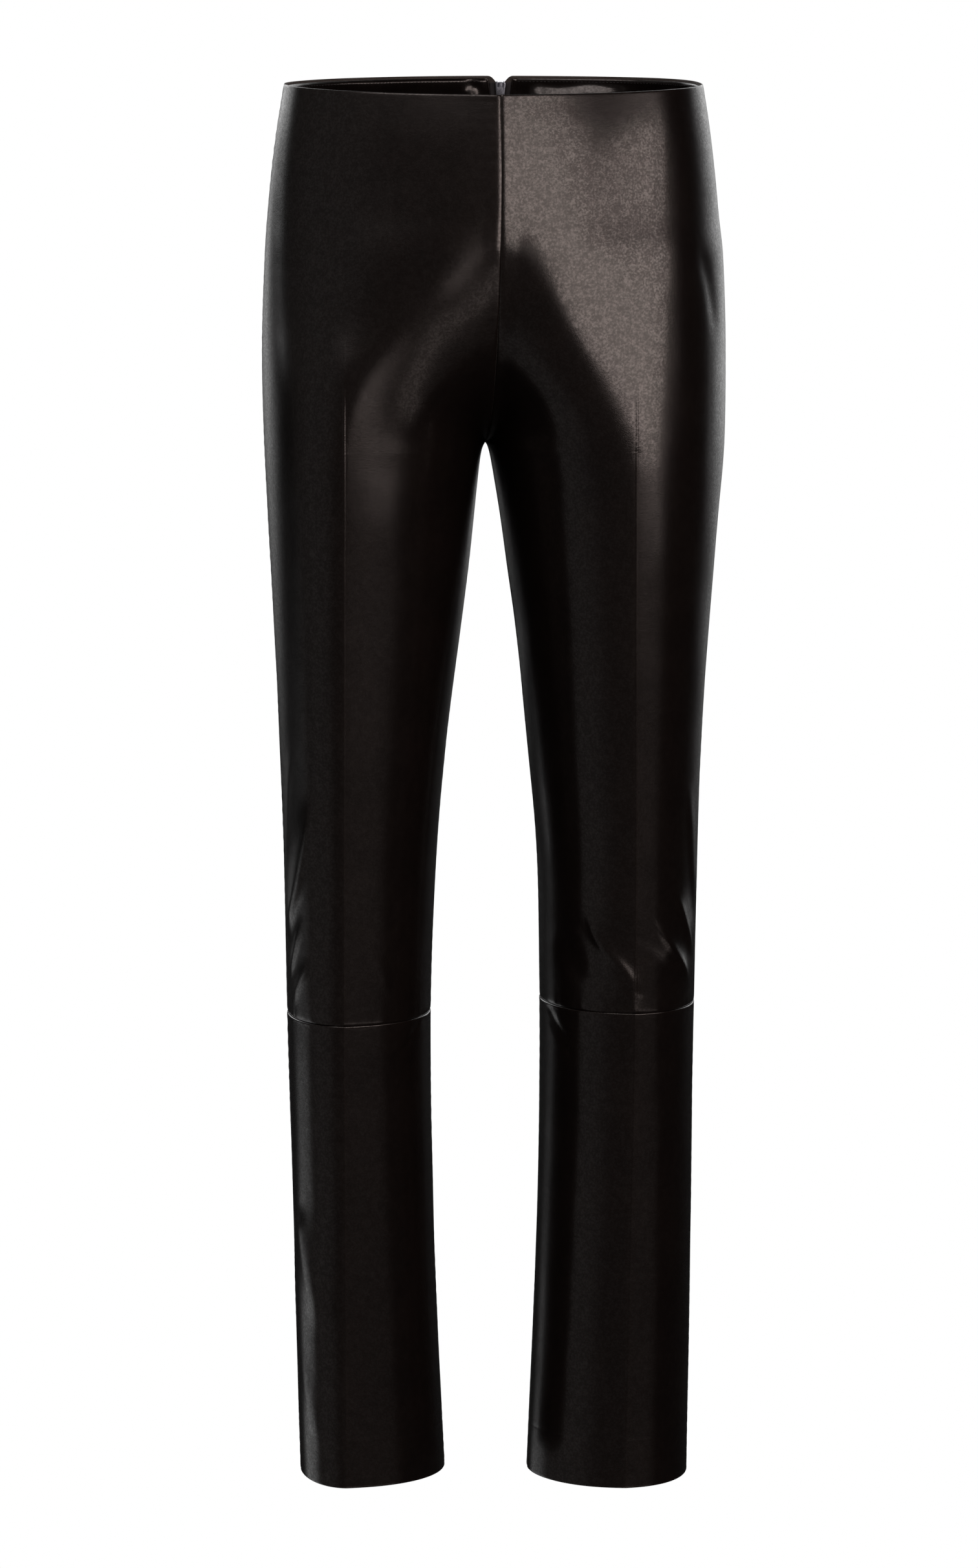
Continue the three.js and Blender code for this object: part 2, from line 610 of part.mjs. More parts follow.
function pullTab() {
  const top = pull.bar / 2;
  const halfTop = pull.topWidth / 2;
  const halfEnd = pull.endWidth / 2;
  const bend = pull.length - halfEnd;
  const outline = new THREE.Shape();
  outline.moveTo(-halfTop, top);
  outline.lineTo(-halfTop, -pullHole.end - 1);
  outline.quadraticCurveTo(-halfTop * 0.75, -pull.length / 2, -halfEnd, -bend);
  outline.absarc(0, -bend, halfEnd, Math.PI, 2 * Math.PI, false);
  outline.quadraticCurveTo(halfTop * 0.75, -pull.length / 2, halfTop, -pullHole.end - 1);
  outline.lineTo(halfTop, top);
  outline.closePath();
  const hole = new THREE.Path();
  hole.moveTo(-pullHole.width / 2, -top);
  hole.lineTo(pullHole.width / 2, -top);
  hole.lineTo(pullHole.width / 2, -pullHole.end);
  hole.absarc(0, -pullHole.end, pullHole.width / 2, 0, -Math.PI, true);
  hole.closePath();
  outline.holes.push(hole);
  return plate(outline, pull.thickness).translate(0, -pull.thickness / 2, 0);
}

// The slider stands inside the back panels with its bridge through the seam. Its group lies
// along the outer surface of the middle back seam.
async function zipSlider() {
  const wasm = await Module();
  wasm.setup();
  const onSeam = (z) => {
    const raised = raisedLine("left", "back", z);
    return surfacePoint("left", raised, raised.fullRun, z);
  };
  const place = onSeam(sliderHeight);
  const rise = new THREE.Vector3().subVectors(onSeam(sliderHeight + 6), onSeam(sliderHeight - 16));
  const group = new THREE.Group();
  group.position.set(swayAt(place), place.y, place.z);
  group.rotation.x = Math.atan2(-rise.y, rise.z);
  const body = asSolid(wasm, sliderBody().translate(0, -wallThickness - seamGap, 0));
  const ring = asSolid(wasm, sliderBridge().translate(0, bridge.pivot, 0));
  const tab = named("zip_pull", pullTab(), zipMetal);
  tab.position.y = bridge.pivot;
  group.add(named("zip_slider", asGeometry(body.add(ring)), zipMetal), tab);
  return group;
}

const trousers = new THREE.Group();
for (const side of Object.keys(legSides)) {
  trousers.add(...legPieces(side));
}
trousers.add(await zipSlider());

export default trousers;
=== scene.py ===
import math

import bmesh
import bpy
import numpy as np
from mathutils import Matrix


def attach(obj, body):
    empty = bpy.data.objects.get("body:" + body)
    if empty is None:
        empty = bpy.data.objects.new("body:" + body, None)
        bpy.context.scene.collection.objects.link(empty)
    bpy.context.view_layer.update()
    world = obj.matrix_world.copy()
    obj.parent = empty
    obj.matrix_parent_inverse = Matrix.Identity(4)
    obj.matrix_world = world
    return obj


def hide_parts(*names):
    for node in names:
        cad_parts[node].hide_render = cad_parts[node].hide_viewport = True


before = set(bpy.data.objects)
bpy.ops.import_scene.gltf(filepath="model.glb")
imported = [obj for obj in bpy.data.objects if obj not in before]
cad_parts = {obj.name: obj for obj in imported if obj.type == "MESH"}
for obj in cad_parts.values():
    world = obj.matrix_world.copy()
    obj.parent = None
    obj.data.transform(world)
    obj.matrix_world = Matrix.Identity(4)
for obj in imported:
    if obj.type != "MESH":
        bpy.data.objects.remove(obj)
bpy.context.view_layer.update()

print("frame loaded:", len(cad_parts), "solids")

# Lengths are in millimetres until a mesh is made. Z is 0 at the waist and falls towards the
# hems, the front faces -Y and +X is the wearer's left.
metres = 0.001

trousers = {
    "wall": 1.2,
    "seamGap": 0.05,
    "crotch": -251.0,
    "crotchDepth": 30.0,
    "archWidth": 3.0,
    "archFade": 25.0,
    "web": {"height": 35.0, "power": 8.0, "sharper": 60.0, "sharpHeight": 6.0, "leastGap": 0.02},
    "middleShift": {"start": -60.0, "distance": 3.0},
    "waistEdge": {"frontDip": 7.5, "backRise": 5.5, "fade": 110.0, "reach": 98.0,
                  "farthest": 1.2},
    "backSway": {"distance": 12.5, "depth": 80.0, "end": -230.0},
    "crease": {"height": 1.4, "spread": 12.0},
    "middleRidge": {"height": 3.2, "spread": 25.0, "full": -78.0, "end": -140.0},
    "sides": {
        "right": {"sign": -1, "kneeSeam": -652.0, "hem": -983.0},
        "left": {"sign": 1, "kneeSeam": -645.0, "hem": -986.0},
    },
    "faces": {
        "front": {"sign": -1, "rise": 150.0, "creaseTop": -165.0, "creaseFull": -240.0},
        "back": {"sign": 1, "rise": 112.0, "creaseTop": -270.0, "creaseFull": -350.0},
    },
}

# height, outer edge of the right and the left leg, depth of the front, the back, the side seam
sections = np.array([
    (0, 144.5, 147.3, 95, 98, 0), (-30, 149.5, 152.2, 100, 102, 1),
    (-60, 153.5, 156, 104, 108, 3), (-90, 156.5, 159, 107, 114, 4),
    (-120, 158.5, 162.4, 109, 119, 4), (-180, 160.5, 164.4, 108, 122, 4),
    (-245, 159.5, 163.8, 103, 115, 4), (-300, 157, 159.5, 98, 106, 2),
    (-380, 153, 153, 91, 96, 0), (-460, 149.5, 148, 84, 86, -2),
    (-540, 147, 145.5, 78, 80, -2), (-650, 145, 143.4, 70, 74, -2),
    (-760, 142, 142.3, 65, 76, -2), (-880, 139.6, 141.3, 62, 72, -2),
    (-986, 136.8, 139.7, 61, 70, -2),
], float)

# height, inner edge of the right and the left leg, depth of the inside-leg seam
innerLegs = np.array([
    (-251, 3, -3, 30), (-300, 8, 4.3, 24), (-340, 12.6, 9.8, 19), (-380, 18, 15, 15),
    (-460, 28.6, 22.8, 9), (-540, 35.8, 29.6, 8), (-650, 40, 32, 8), (-760, 38.9, 31.4, 8),
    (-880, 35.2, 27.4, 8), (-986, 30, 23, 8),
], float)

# height, how far the fullest line has moved out to the crease: front right, front left, back
crestLines = np.array([
    (0, 0, 0, 0), (-60, 0.04, 0.04, 0.15), (-95, 0.14, 0.15, 0.36), (-150, 0.46, 0.44, 0.62),
    (-200, 0.84, 0.71, 0.8), (-250, 0.97, 0.9, 0.92), (-310, 1, 0.99, 0.99), (-360, 1, 1, 1),
    (-986, 1, 1, 1),
], float)

# height, place of the crease: front right, front left, back right, back left
creasePlaces = np.array([
    (0, 107.5, 93, 78, 78), (-250, 107.5, 93, 78, 78),
    (-650, 107.5, 96, 78, 78), (-986, 106.5, 91, 76, 76),
], float)


# Cubic pieces through a table's rows, each row's slope being that between its neighbours.
def curveOf(table, column):
    heights, values = table[:, 0], table[:, column]
    last = len(heights) - 1
    above = np.maximum(np.arange(last + 1) - 1, 0)
    below = np.minimum(np.arange(last + 1) + 1, last)
    slopes = (values[below] - values[above]) / (heights[below] - heights[above])

    def valueAt(z):
        row = np.clip(np.searchsorted(-heights, -z, side="right") - 1, 0, last - 1)
        span = heights[row + 1] - heights[row]
        t = np.clip((z - heights[row]) / span, 0, 1)
        start = values[row] * (1 + 2 * t) * (1 - t) ** 2 + slopes[row] * span * t * (1 - t) ** 2
        end = values[row + 1] * t * t * (3 - 2 * t) - slopes[row + 1] * span * t * t * (1 - t)
        return start + end

    return valueAt


outerOf = {"right": curveOf(sections, 1), "left": curveOf(sections, 2)}
innerOf = {"right": curveOf(innerLegs, 1), "left": curveOf(innerLegs, 2)}
crestDepthOf = {"front": curveOf(sections, 3), "back": curveOf(sections, 4)}
sideDepthOf = curveOf(sections, 5)
innerDepthOf = curveOf(innerLegs, 3)
crestShareOf = {
    ("right", "front"): curveOf(crestLines, 1), ("left", "front"): curveOf(crestLines, 2),
    ("right", "back"): curveOf(crestLines, 3), ("left", "back"): curveOf(crestLines, 3),
}
creaseOf = {
    ("right", "front"): curveOf(creasePlaces, 1), ("left", "front"): curveOf(creasePlaces, 2),
    ("right", "back"): curveOf(creasePlaces, 3), ("left", "back"): curveOf(creasePlaces, 4),
}


# 0 before the start, 1 past the end, with a smooth S between them.
def smoothStep(start, end, value):
    t = np.clip((value - start) / (end - start), 0, 1)
    return t * t * (3 - 2 * t)


# 1 at the middle, falling off on both sides by the square of the distance in an exponential.
def bell(distance, width):
    return np.exp(-(distance / width) ** 2)


# Vectors cut to a length of 1.
def unit(vectors):
    return vectors / np.linalg.norm(vectors, axis=-1, keepdims=True)


# Distance of the middle seam, or below the crotch of the leg's inner edge, from X = 0, before
# the arch.
def innerPlace(side, z):
    shift, crotch = trousers["middleShift"], trousers["crotch"]
    share = np.clip((z - shift["start"]) / (crotch - shift["start"]), 0, 1)
    seam = -trousers["sides"][side]["sign"] * shift["distance"] * share
    return np.where(z >= crotch, seam, innerOf[side](z))


# The legs part by an exponential arch below the crotch.
def archAt(z):
    drop = np.minimum(z - trousers["crotch"], 0)
    return trousers["archWidth"] * (1 - np.exp(drop / trousers["archWidth"]))


# Where the middle seam or the leg's inner edge ends up: its place with the arch added.
def innerEdge(side, z):
    return innerPlace(side, z) + archAt(z)


# Linear steps along every row at once: each row's runs are moved past those of the row before.
def alongRows(run, values, wanted):
    shift = np.arange(len(run))[:, None] * 2000.0
    found = np.interp((wanted + shift).ravel(), (run + shift).ravel(), values.ravel())
    return found.reshape(wanted.shape)


# Length of every row of points up to each of its points.
def runOf(place, depth):
    step = np.hypot(np.diff(place, axis=1), np.diff(depth, axis=1))
    return np.concatenate([np.zeros((len(place), 1)), np.cumsum(step, axis=1)], axis=1)


# Just above the crotch the thighs keep their roundness and a web spans the gap between them: the
# share grows as if the seam still lay as deep as the crotch, and levels off softly at 1.
def webShare(share, t, z, turned):
    web = trousers["web"]
    over = np.maximum(z - trousers["crotch"], 0)
    deeper = 1 / np.maximum(1 - turned, web["leastGap"]) - 1
    steep = 1 + deeper * bell(over, web["height"])
    power = web["power"] + web["sharper"] * np.exp(-over / web["sharpHeight"])
    raised = steep * share
    level = raised / (1 + raised ** power) ** (1 / power)
    end = steep / (1 + steep ** power) ** (1 / power)
    return np.where(over > 0, level * (1 + (1 / end - 1) * t ** 4), share)


# A panel's lines at the heights z, from the side seam to the middle or inside-leg seam: a
# quarter ellipse from the side to the crest, then a flat wave that turns into a second quarter
# ellipse as the leg parts from the other one.
def panelLines(side, face, z, samples=220):
    z = z[:, None]
    sign, rise = trousers["faces"][face]["sign"], trousers["faces"][face]["rise"]
    crotch = trousers["crotch"]
    outer, inner = outerOf[side](z), innerPlace(side, z)
    share, creasePlace = crestShareOf[side, face](z), creaseOf[side, face](z)
    crestPlace = share * creasePlace + (1 - share) * inner
    crestDepth, sideDepth = sign * crestDepthOf[face](z), sideDepthOf(z)
    above = np.clip((z - crotch) / rise, 0, 1)
    turned = np.sqrt(1 - (1 - above) ** 2)
    overCrotch = trousers["crotchDepth"] + (crestDepth - trousers["crotchDepth"]) * turned
    seamDepth = np.where(z >= crotch, overCrotch, innerDepthOf(z))
    angle = np.linspace(math.pi / 2, 0, samples + 1)[None, :]
    outPlace = crestPlace + (outer - crestPlace) * np.sin(angle)
    outDepth = sideDepth + (crestDepth - sideDepth) * np.cos(angle)
    t = np.linspace(0, 1, samples + 1)[None, 1:]
    legShare = (1 - above ** 2) ** 2
    placeShare = legShare * np.sin(math.pi / 2 * t) + (1 - legShare) * t
    roundShare, flatShare = 1 - np.cos(math.pi / 2 * t), (1 - np.cos(math.pi * t)) / 2
    depthShare = webShare(legShare * roundShare + (1 - legShare) * flatShare, t, z, turned)
    archNear = np.exp(np.minimum(z - crotch, 0) / trousers["archFade"])
    archShare = placeShare + (t ** 6 - placeShare) * archNear
    inPlace = crestPlace + (inner - crestPlace) * placeShare + archAt(z) * archShare
    place = np.hstack([outPlace, inPlace])
    depth = np.hstack([outDepth, crestDepth + (seamDepth - crestDepth) * depthShare])
    run = runOf(place, depth)
    creaseAngle = np.arcsin(np.clip((creasePlace - crestPlace) / (outer - crestPlace), 0, 1))
    sample = np.arange(2 * samples + 1)[None, :].repeat(len(z), axis=0).astype(float)
    creaseRun = alongRows(sample, run, samples * (1 - creaseAngle / (math.pi / 2)))
    return place, depth, run, creaseRun


# Folds of the leather, as points (distance from the crease, outwards; height). Each lies along a
# smooth line through its points. upper and lower are its widths on the side towards the waist
# and the side towards the hem, and a negative height is a trough.
folds = {
    ("left", "front"): [
        {"points": [(-30, -588), (-2, -634)], "upper": 8, "lower": 5.5, "height": 1.7, "end": 14},
        {"points": [(19, -590), (47, -622)], "upper": 8, "lower": 5.5, "height": 1.9, "end": 14},
        {"points": [(-62, -598), (-38, -622)], "upper": 8, "lower": 7, "height": -1.6, "end": 14},
        {"points": [(36, -566), (56, -598)], "upper": 8, "lower": 6, "height": 1.5, "end": 14},
        {"points": [(-33, -584), (-24, -597), (-13, -609), (-5, -618), (-1, -636)],
         "upper": 3.0, "lower": 1.5, "height": 1.0, "end": 12},
        {"points": [(14, -582), (22, -593), (34, -607), (50, -624)],
         "upper": 3.0, "lower": 1.4, "height": 1.05, "end": 12},
        {"points": [(34, -566), (40, -577), (49, -593), (58, -604)],
         "upper": 3.2, "lower": 1.6, "height": 1.1, "end": 12},
        {"points": [(1, -588), (17, -600), (31, -618)],
         "upper": 4.5, "lower": 3.0, "height": 0.25, "end": 12},
        {"points": [(-48, -580), (-34, -594), (-22, -610)],
         "upper": 4.5, "lower": 3.5, "height": -0.35, "end": 12},
        {"points": [(-28, -625), (-14, -630), (-4, -634)],
         "upper": 5, "lower": 4, "height": 0.3, "end": 10},
        {"points": [(54, -500), (58, -530), (66, -566)],
         "upper": 6, "lower": 3.4, "height": 1.1, "end": 18},
        {"points": [(64, -118), (74, -140), (82, -166)],
         "upper": 6, "lower": 5, "height": -0.7, "end": 14},
    ],
    ("right", "front"): [
        {"points": [(0, -164), (-80, -190)], "upper": 26, "lower": 32, "height": -2.6, "end": 30},
        {"points": [(-5, -300), (-45, -298)], "upper": 30, "lower": 34, "height": 1.8, "end": 30},
        {"points": [(24, -505), (64, -585)], "upper": 9, "lower": 7, "height": 1.6, "end": 16},
        {"points": [(22, -492), (30, -522), (44, -556), (62, -582)],
         "upper": 5, "lower": 2.8, "height": 0.8, "end": 20},
        {"points": [(42, -586), (49, -600), (60, -618)],
         "upper": 4, "lower": 2.6, "height": 0.9, "end": 12},
        {"points": [(30, -612), (40, -622), (51, -636)],
         "upper": 4, "lower": 2.6, "height": 0.7, "end": 10},
        {"points": [(58, -470), (66, -505), (72, -540)],
         "upper": 6, "lower": 4, "height": 0.6, "end": 20},
        {"points": [(-20, -600), (-32, -622), (-40, -640)],
         "upper": 4, "lower": 3, "height": 0.25, "end": 10},
    ],
    ("left", "back"): [
        {"points": [(-52, -618), (30, -634)], "upper": 8, "lower": 8, "height": -2.4, "end": 9},
        {"points": [(-30, -590), (56, -598)], "upper": 8, "lower": 8, "height": -1.8, "end": 9},
        {"points": [(-66, -262), (-6, -290)], "upper": 9, "lower": 9, "height": -2.2, "end": 9},
        {"points": [(-44, -606), (-18, -613), (16, -616), (44, -610)],
         "upper": 3.2, "lower": 2.2, "height": 0.9, "end": 12},
        {"points": [(-60, -572), (-30, -580), (4, -580)],
         "upper": 3.6, "lower": 2.4, "height": 0.7, "end": 12},
        {"points": [(-66, -280), (-36, -290), (-2, -308)],
         "upper": 4, "lower": 2.6, "height": 0.9, "end": 14},
        {"points": [(20, -566), (44, -560), (60, -548)],
         "upper": 3, "lower": 2.4, "height": 0.6, "end": 12},
    ],
    ("right", "back"): [
        {"points": [(-46, -624), (38, -640)], "upper": 8, "lower": 8, "height": -2.4, "end": 9},
        {"points": [(-58, -602), (22, -594)], "upper": 8, "lower": 8, "height": -1.8, "end": 9},
        {"points": [(-66, -264), (-10, -286)], "upper": 9, "lower": 9, "height": -2.2, "end": 9},
        {"points": [(-50, -614), (-20, -616), (20, -622), (48, -616)],
         "upper": 3.2, "lower": 2.2, "height": 0.9, "end": 12},
        {"points": [(-40, -584), (-6, -578), (30, -570)],
         "upper": 3.6, "lower": 2.4, "height": 0.7, "end": 12},
        {"points": [(-64, -284), (-38, -294), (-12, -310)],
         "upper": 4, "lower": 2.6, "height": 0.8, "end": 14},
    ],
    ("left", "front", "lower"): [
        {"points": [(-82, -648), (-68, -658), (-54, -668)],
         "upper": 2.2, "lower": 1.6, "height": -0.7, "end": 6},
        {"points": [(-78, -656), (-62, -668), (-50, -678)],
         "upper": 2, "lower": 1.6, "height": -0.5, "end": 6},
        {"points": [(40, -700), (26, -730), (20, -770)],
         "upper": 8, "lower": 7, "height": 0.3, "end": 20},
    ],
    ("right", "front", "lower"): [
        {"points": [(50, -796), (18, -862)], "upper": 9, "lower": 9, "height": 1.5, "end": 9},
        {"points": [(-72, -654), (-60, -662), (-48, -672)],
         "upper": 2.2, "lower": 1.6, "height": -0.7, "end": 7},
        {"points": [(45, -903), (34, -926), (20, -955)],
         "upper": 7, "lower": 6, "height": 0.5, "end": 14},
    ],
    ("left", "back", "lower"): [
        {"points": [(-40, -660), (-10, -668), (26, -664)],
         "upper": 3.4, "lower": 2.6, "height": -0.8, "end": 12},
    ],
    ("right", "back", "lower"): [
        {"points": [(-36, -664), (-4, -674), (30, -672)],
         "upper": 3.4, "lower": 2.6, "height": -0.8, "end": 12},
    ],
}


# Points evenly along a smooth line through a few given ones: a parabola for three, a straight
# line for two, the cubic of least degree for four or more.
def smoothLine(points, count=40):
    points = np.array(points, float)
    given = np.concatenate([[0], np.cumsum(np.hypot(*np.diff(points, axis=0).T))])
    degree = min(len(points) - 1, 3)
    wanted = np.linspace(0, given[-1], count)
    columns = [np.polyval(np.polyfit(given, points[:, i], degree), wanted) for i in (0, 1)]
    return np.stack(columns, axis=1), wanted


# Height of one fold over a grid: a bell across its line, with its own width on each side, and
# ends that taper.
def foldHeight(fold, along, z):
    line, run = smoothLine(fold["points"])
    reach = 4 * max(fold["upper"], fold["lower"]) + fold["end"]
    low, high = line.min(axis=0) - reach, line.max(axis=0) + reach
    near = (along > low[0]) & (along < high[0]) & (z > low[1]) & (z < high[1])
    height = np.zeros(along.shape)
    if not near.any():
        return height
    place = np.stack([along[near], z[near]], axis=1)
    start, step = line[:-1], np.diff(line, axis=0)
    length = np.hypot(*step.T)
    way = step / length[:, None]
    offset = place[:, None, :] - start[None, :, :]
    past = (offset * way[None]).sum(axis=2)
    inside = np.clip(past, 0, length[None])
    square = ((offset - inside[..., None] * way[None]) ** 2).sum(axis=2)
    nearest = square.argmin(axis=1)
    pick = np.arange(len(place))
    beside = offset[pick, nearest, 0] * way[nearest, 1] - offset[pick, nearest, 1] * way[nearest, 0]
    ran = run[nearest] + past[pick, nearest]
    upwards = np.where(way[nearest, 0] >= 0, -beside, beside)
    width = np.where(upwards > 0, fold["upper"], fold["lower"])
    end = fold["end"]
    taper = smoothStep(-end, end, ran) * smoothStep(-end, end, run[-1] - ran)
    height[near] = fold["height"] * taper * np.exp(-0.5 * (beside / width) ** 2)
    return height


# Slow waves of the leather: sines in seeded directions, their sum kept near the given height.
# A stretch below 1 draws them out down the legs.
def leatherWaves(along, z, seed, shortest, longest, height, count=9, stretch=0.6):
    chance = np.random.default_rng(seed)
    total = np.zeros(np.broadcast(along, z).shape)
    for _ in range(count):
        length = chance.uniform(shortest, longest)
        turn, start = chance.uniform(0, math.pi), chance.uniform(0, 2 * math.pi)
        across = math.cos(turn) * along + stretch * math.sin(turn) * z
        total += np.sin(2 * math.pi * across / length + start)
    return total * height / math.sqrt(count)


# The points of a panel's outer surface at the heights z and the distances run from the side
# seam, before its fine detail: crease, middle ridge and folds stand out along the line's normal,
# and a parabola of the depth dips the waist at the front and lifts it at the back.
def panelSurface(side, face, z, run, foldSet=()):
    place, depth, lineRun, creaseRun = panelLines(side, face, z)
    crease, ridge, edge = trousers["crease"], trousers["middleRidge"], trousers["waistEdge"]
    form = trousers["faces"][face]
    along = creaseRun - lineRun
    creaseShare = smoothStep(form["creaseTop"], form["creaseFull"], z)[:, None]
    height = crease["height"] * creaseShare * np.exp(-np.abs(along) / crease["spread"])
    if face == "front":
        share = smoothStep(ridge["end"], ridge["full"], z)[:, None]
        height = height + ridge["height"] * share * np.exp(
            (lineRun - lineRun[:, -1:]) / ridge["spread"])
    for fold in foldSet:
        height = height + foldHeight(fold, along, z[:, None] + 0 * along)
    acrossPlace, acrossDepth = np.gradient(place, axis=1), np.gradient(depth, axis=1)
    length = np.maximum(np.hypot(acrossPlace, acrossDepth), 1e-9)
    raisedPlace = place + height * form["sign"] * acrossDepth / length
    raisedDepth = depth - height * form["sign"] * acrossPlace / length
    x = trousers["sides"][side]["sign"] * alongRows(lineRun, raisedPlace, run)
    y = alongRows(lineRun, raisedDepth, run)
    lean = np.clip(y / edge["reach"], -edge["farthest"], edge["farthest"])
    lift = lean * (edge["backRise"] + edge["frontDip"]) / 2
    lift = lift + lean ** 2 * (edge["backRise"] - edge["frontDip"]) / 2
    fade = np.clip(1 + z[:, None] / edge["fade"], 0, 1) ** 2
    return np.stack([x, y, z[:, None] + lift * fade], axis=2)


# Unit normals that point out of the trousers, from the grid's own steps down and across. At the
# side and inside-leg seams they lie square to the seam, so that the walls meet edge to edge.
def panelNormals(side, face, z, points, squareStart=True, squareEnd=True):
    down, across = np.gradient(points, axis=0), np.gradient(points, axis=1)
    sign = trousers["sides"][side]["sign"] * trousers["faces"][face]["sign"]
    normals = np.cross(down, across) * sign
    if squareStart:
        normals[:, 0, 1] = 0
    if squareEnd:
        normals[z <= trousers["crotch"], -1, 1] = 0
    return unit(normals)


# Keeps every point on its own side of the middle seam.
def clearOfMiddle(side, points, z, gap):
    sign = trousers["sides"][side]["sign"]
    points[..., 0] = sign * np.maximum(sign * points[..., 0], innerEdge(side, z)[:, None] + gap)
    return points


# Distances from start to end along every row: the edge steps at both ends, and even shares of
# what is left between them.
def spacedRuns(start, end, edgeSteps, even):
    edge = np.array(edgeSteps)[None, :]
    share = np.linspace(0, 1, even + 1)[None, 1:-1]
    inner = (start + edge[:, -1:]) + (end - start - 2 * edge[:, -1:]) * share
    return np.hstack([start + edge, inner, end - edge[:, ::-1]])


# Faces of a closed wall between an outer and an inner grid of rows by columns, four corners each.
def wallFaces(rows, columns):
    outside = np.arange(rows * columns).reshape(rows, columns)
    inside = outside + rows * columns

    def quads(a, b, c, d):
        return np.stack([a.ravel(), b.ravel(), c.ravel(), d.ravel()], axis=1)

    return {
        "outside": quads(outside[:-1, :-1], outside[:-1, 1:], outside[1:, 1:], outside[1:, :-1]),
        "inside": quads(inside[:-1, :-1], inside[1:, :-1], inside[1:, 1:], inside[:-1, 1:]),
        "rim": np.concatenate([
            quads(outside[:-1, 0], outside[1:, 0], inside[1:, 0], inside[:-1, 0]),
            quads(outside[:-1, -1], inside[:-1, -1], inside[1:, -1], outside[1:, -1]),
            quads(outside[0, :-1], inside[0, :-1], inside[0, 1:], outside[0, 1:]),
            quads(outside[-1, :-1], outside[-1, 1:], inside[-1, 1:], inside[-1, :-1]),
        ]),
    }


# Six times the volume inside closed faces, which is negative where they face inwards.
def turnedVolume(points, faces):
    a, b, c, d = (points[faces[:, i]] for i in range(4))
    return (a * np.cross(b, c)).sum() + (a * np.cross(c, d)).sum()


# The back of the waist hangs a little over to the wearer's left: X grows there by the sway, which
# fades out towards the side seams and downwards.
def swayed(points):
    sway = trousers["backSway"]
    share = smoothStep(0, sway["depth"], points[:, 1]) * smoothStep(sway["end"], 0, points[:, 2])
    return points + np.outer(share, [sway["distance"], 0, 0])


# A mesh of four-cornered faces, turned the right way out, with named values at its points.
def meshPiece(name, points, faces, materials, faceMaterial=None, attributes=None):
    points = swayed(points)
    if turnedVolume(points, faces) < 0:
        faces = faces[:, ::-1]
    mesh = bpy.data.meshes.new(name)
    mesh.vertices.add(len(points))
    mesh.vertices.foreach_set("co", (points * metres).astype(np.float32).ravel())
    mesh.loops.add(faces.size)
    mesh.loops.foreach_set("vertex_index", faces.astype(np.int32).ravel())
    mesh.polygons.add(len(faces))
    mesh.polygons.foreach_set("loop_start", np.arange(0, faces.size, 4, dtype=np.int32))
    mesh.polygons.foreach_set("use_smooth", np.ones(len(faces), bool))
    for material in materials:
        mesh.materials.append(material)
    if faceMaterial is not None:
        mesh.polygons.foreach_set("material_index", faceMaterial.astype(np.int32))
    for title, values in (attributes or {}).items():
        layer = mesh.attributes.new(title, "FLOAT", "POINT")
        layer.data.foreach_set("value", values.astype(np.float32).ravel())
    mesh.update(calc_edges=True)
    piece = bpy.data.objects.new(name, mesh)
    bpy.context.scene.collection.objects.link(piece)
    return piece


# A closed wall between two grids of points. Its first material is on the rims and on the
# finished grid, and its second one is on the other grid.
def wallPiece(name, outside, inside, materials, finished="outside", values=None):
    parts = wallFaces(*outside.shape[:2])
    other = parts["inside" if finished == "outside" else "outside"]
    faces = np.concatenate([parts[finished], parts["rim"], other])
    kinds = np.zeros(len(faces))
    kinds[-len(other):] = len(materials) - 1
    points = np.concatenate([outside.reshape(-1, 3), inside.reshape(-1, 3)])
    attributes = {title: np.tile(value.ravel(), 2) for title, value in (values or {}).items()}
    return meshPiece(name, points, faces, materials, kinds, attributes)


# Points of a round profile carried along a line, its circle in two directions square to it.
def tubePoints(centre, first, second, radius, around):
    ring = np.linspace(0, 2 * math.pi, around, endpoint=False)[None, :, None]
    circle = np.cos(ring) * first[:, None, :] + np.sin(ring) * second[:, None, :]
    return (centre[:, None, :] + circle * radius).reshape(-1, 3)


# Attaches a piece to its body, hides the solids that it stands for and prints its count of faces.
def placePiece(piece, body, slot, *nodes):
    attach(piece, body)
    if nodes:
        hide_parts(*nodes)
    print("piece:", piece.name, len(piece.data.polygons), "faces")
    return piece


# A socket of a node tree: +, - and * on it add Math nodes.
class Channel:
    def __init__(self, nodes, socket):
        self.nodes = nodes
        self.socket = socket

    def maths(self, operation, first, second):
        return self.nodes.add("ShaderNodeMath", {"operation": operation}, {0: first, 1: second})

    def __add__(self, other):
        return self.maths("ADD", self, other)

    def __radd__(self, other):
        return self.maths("ADD", other, self)

    def __sub__(self, other):
        return self.maths("SUBTRACT", self, other)

    def __rsub__(self, other):
        return self.maths("SUBTRACT", other, self)

    def __mul__(self, other):
        return self.maths("MULTIPLY", self, other)

    def __rmul__(self, other):
        return self.maths("MULTIPLY", other, self)


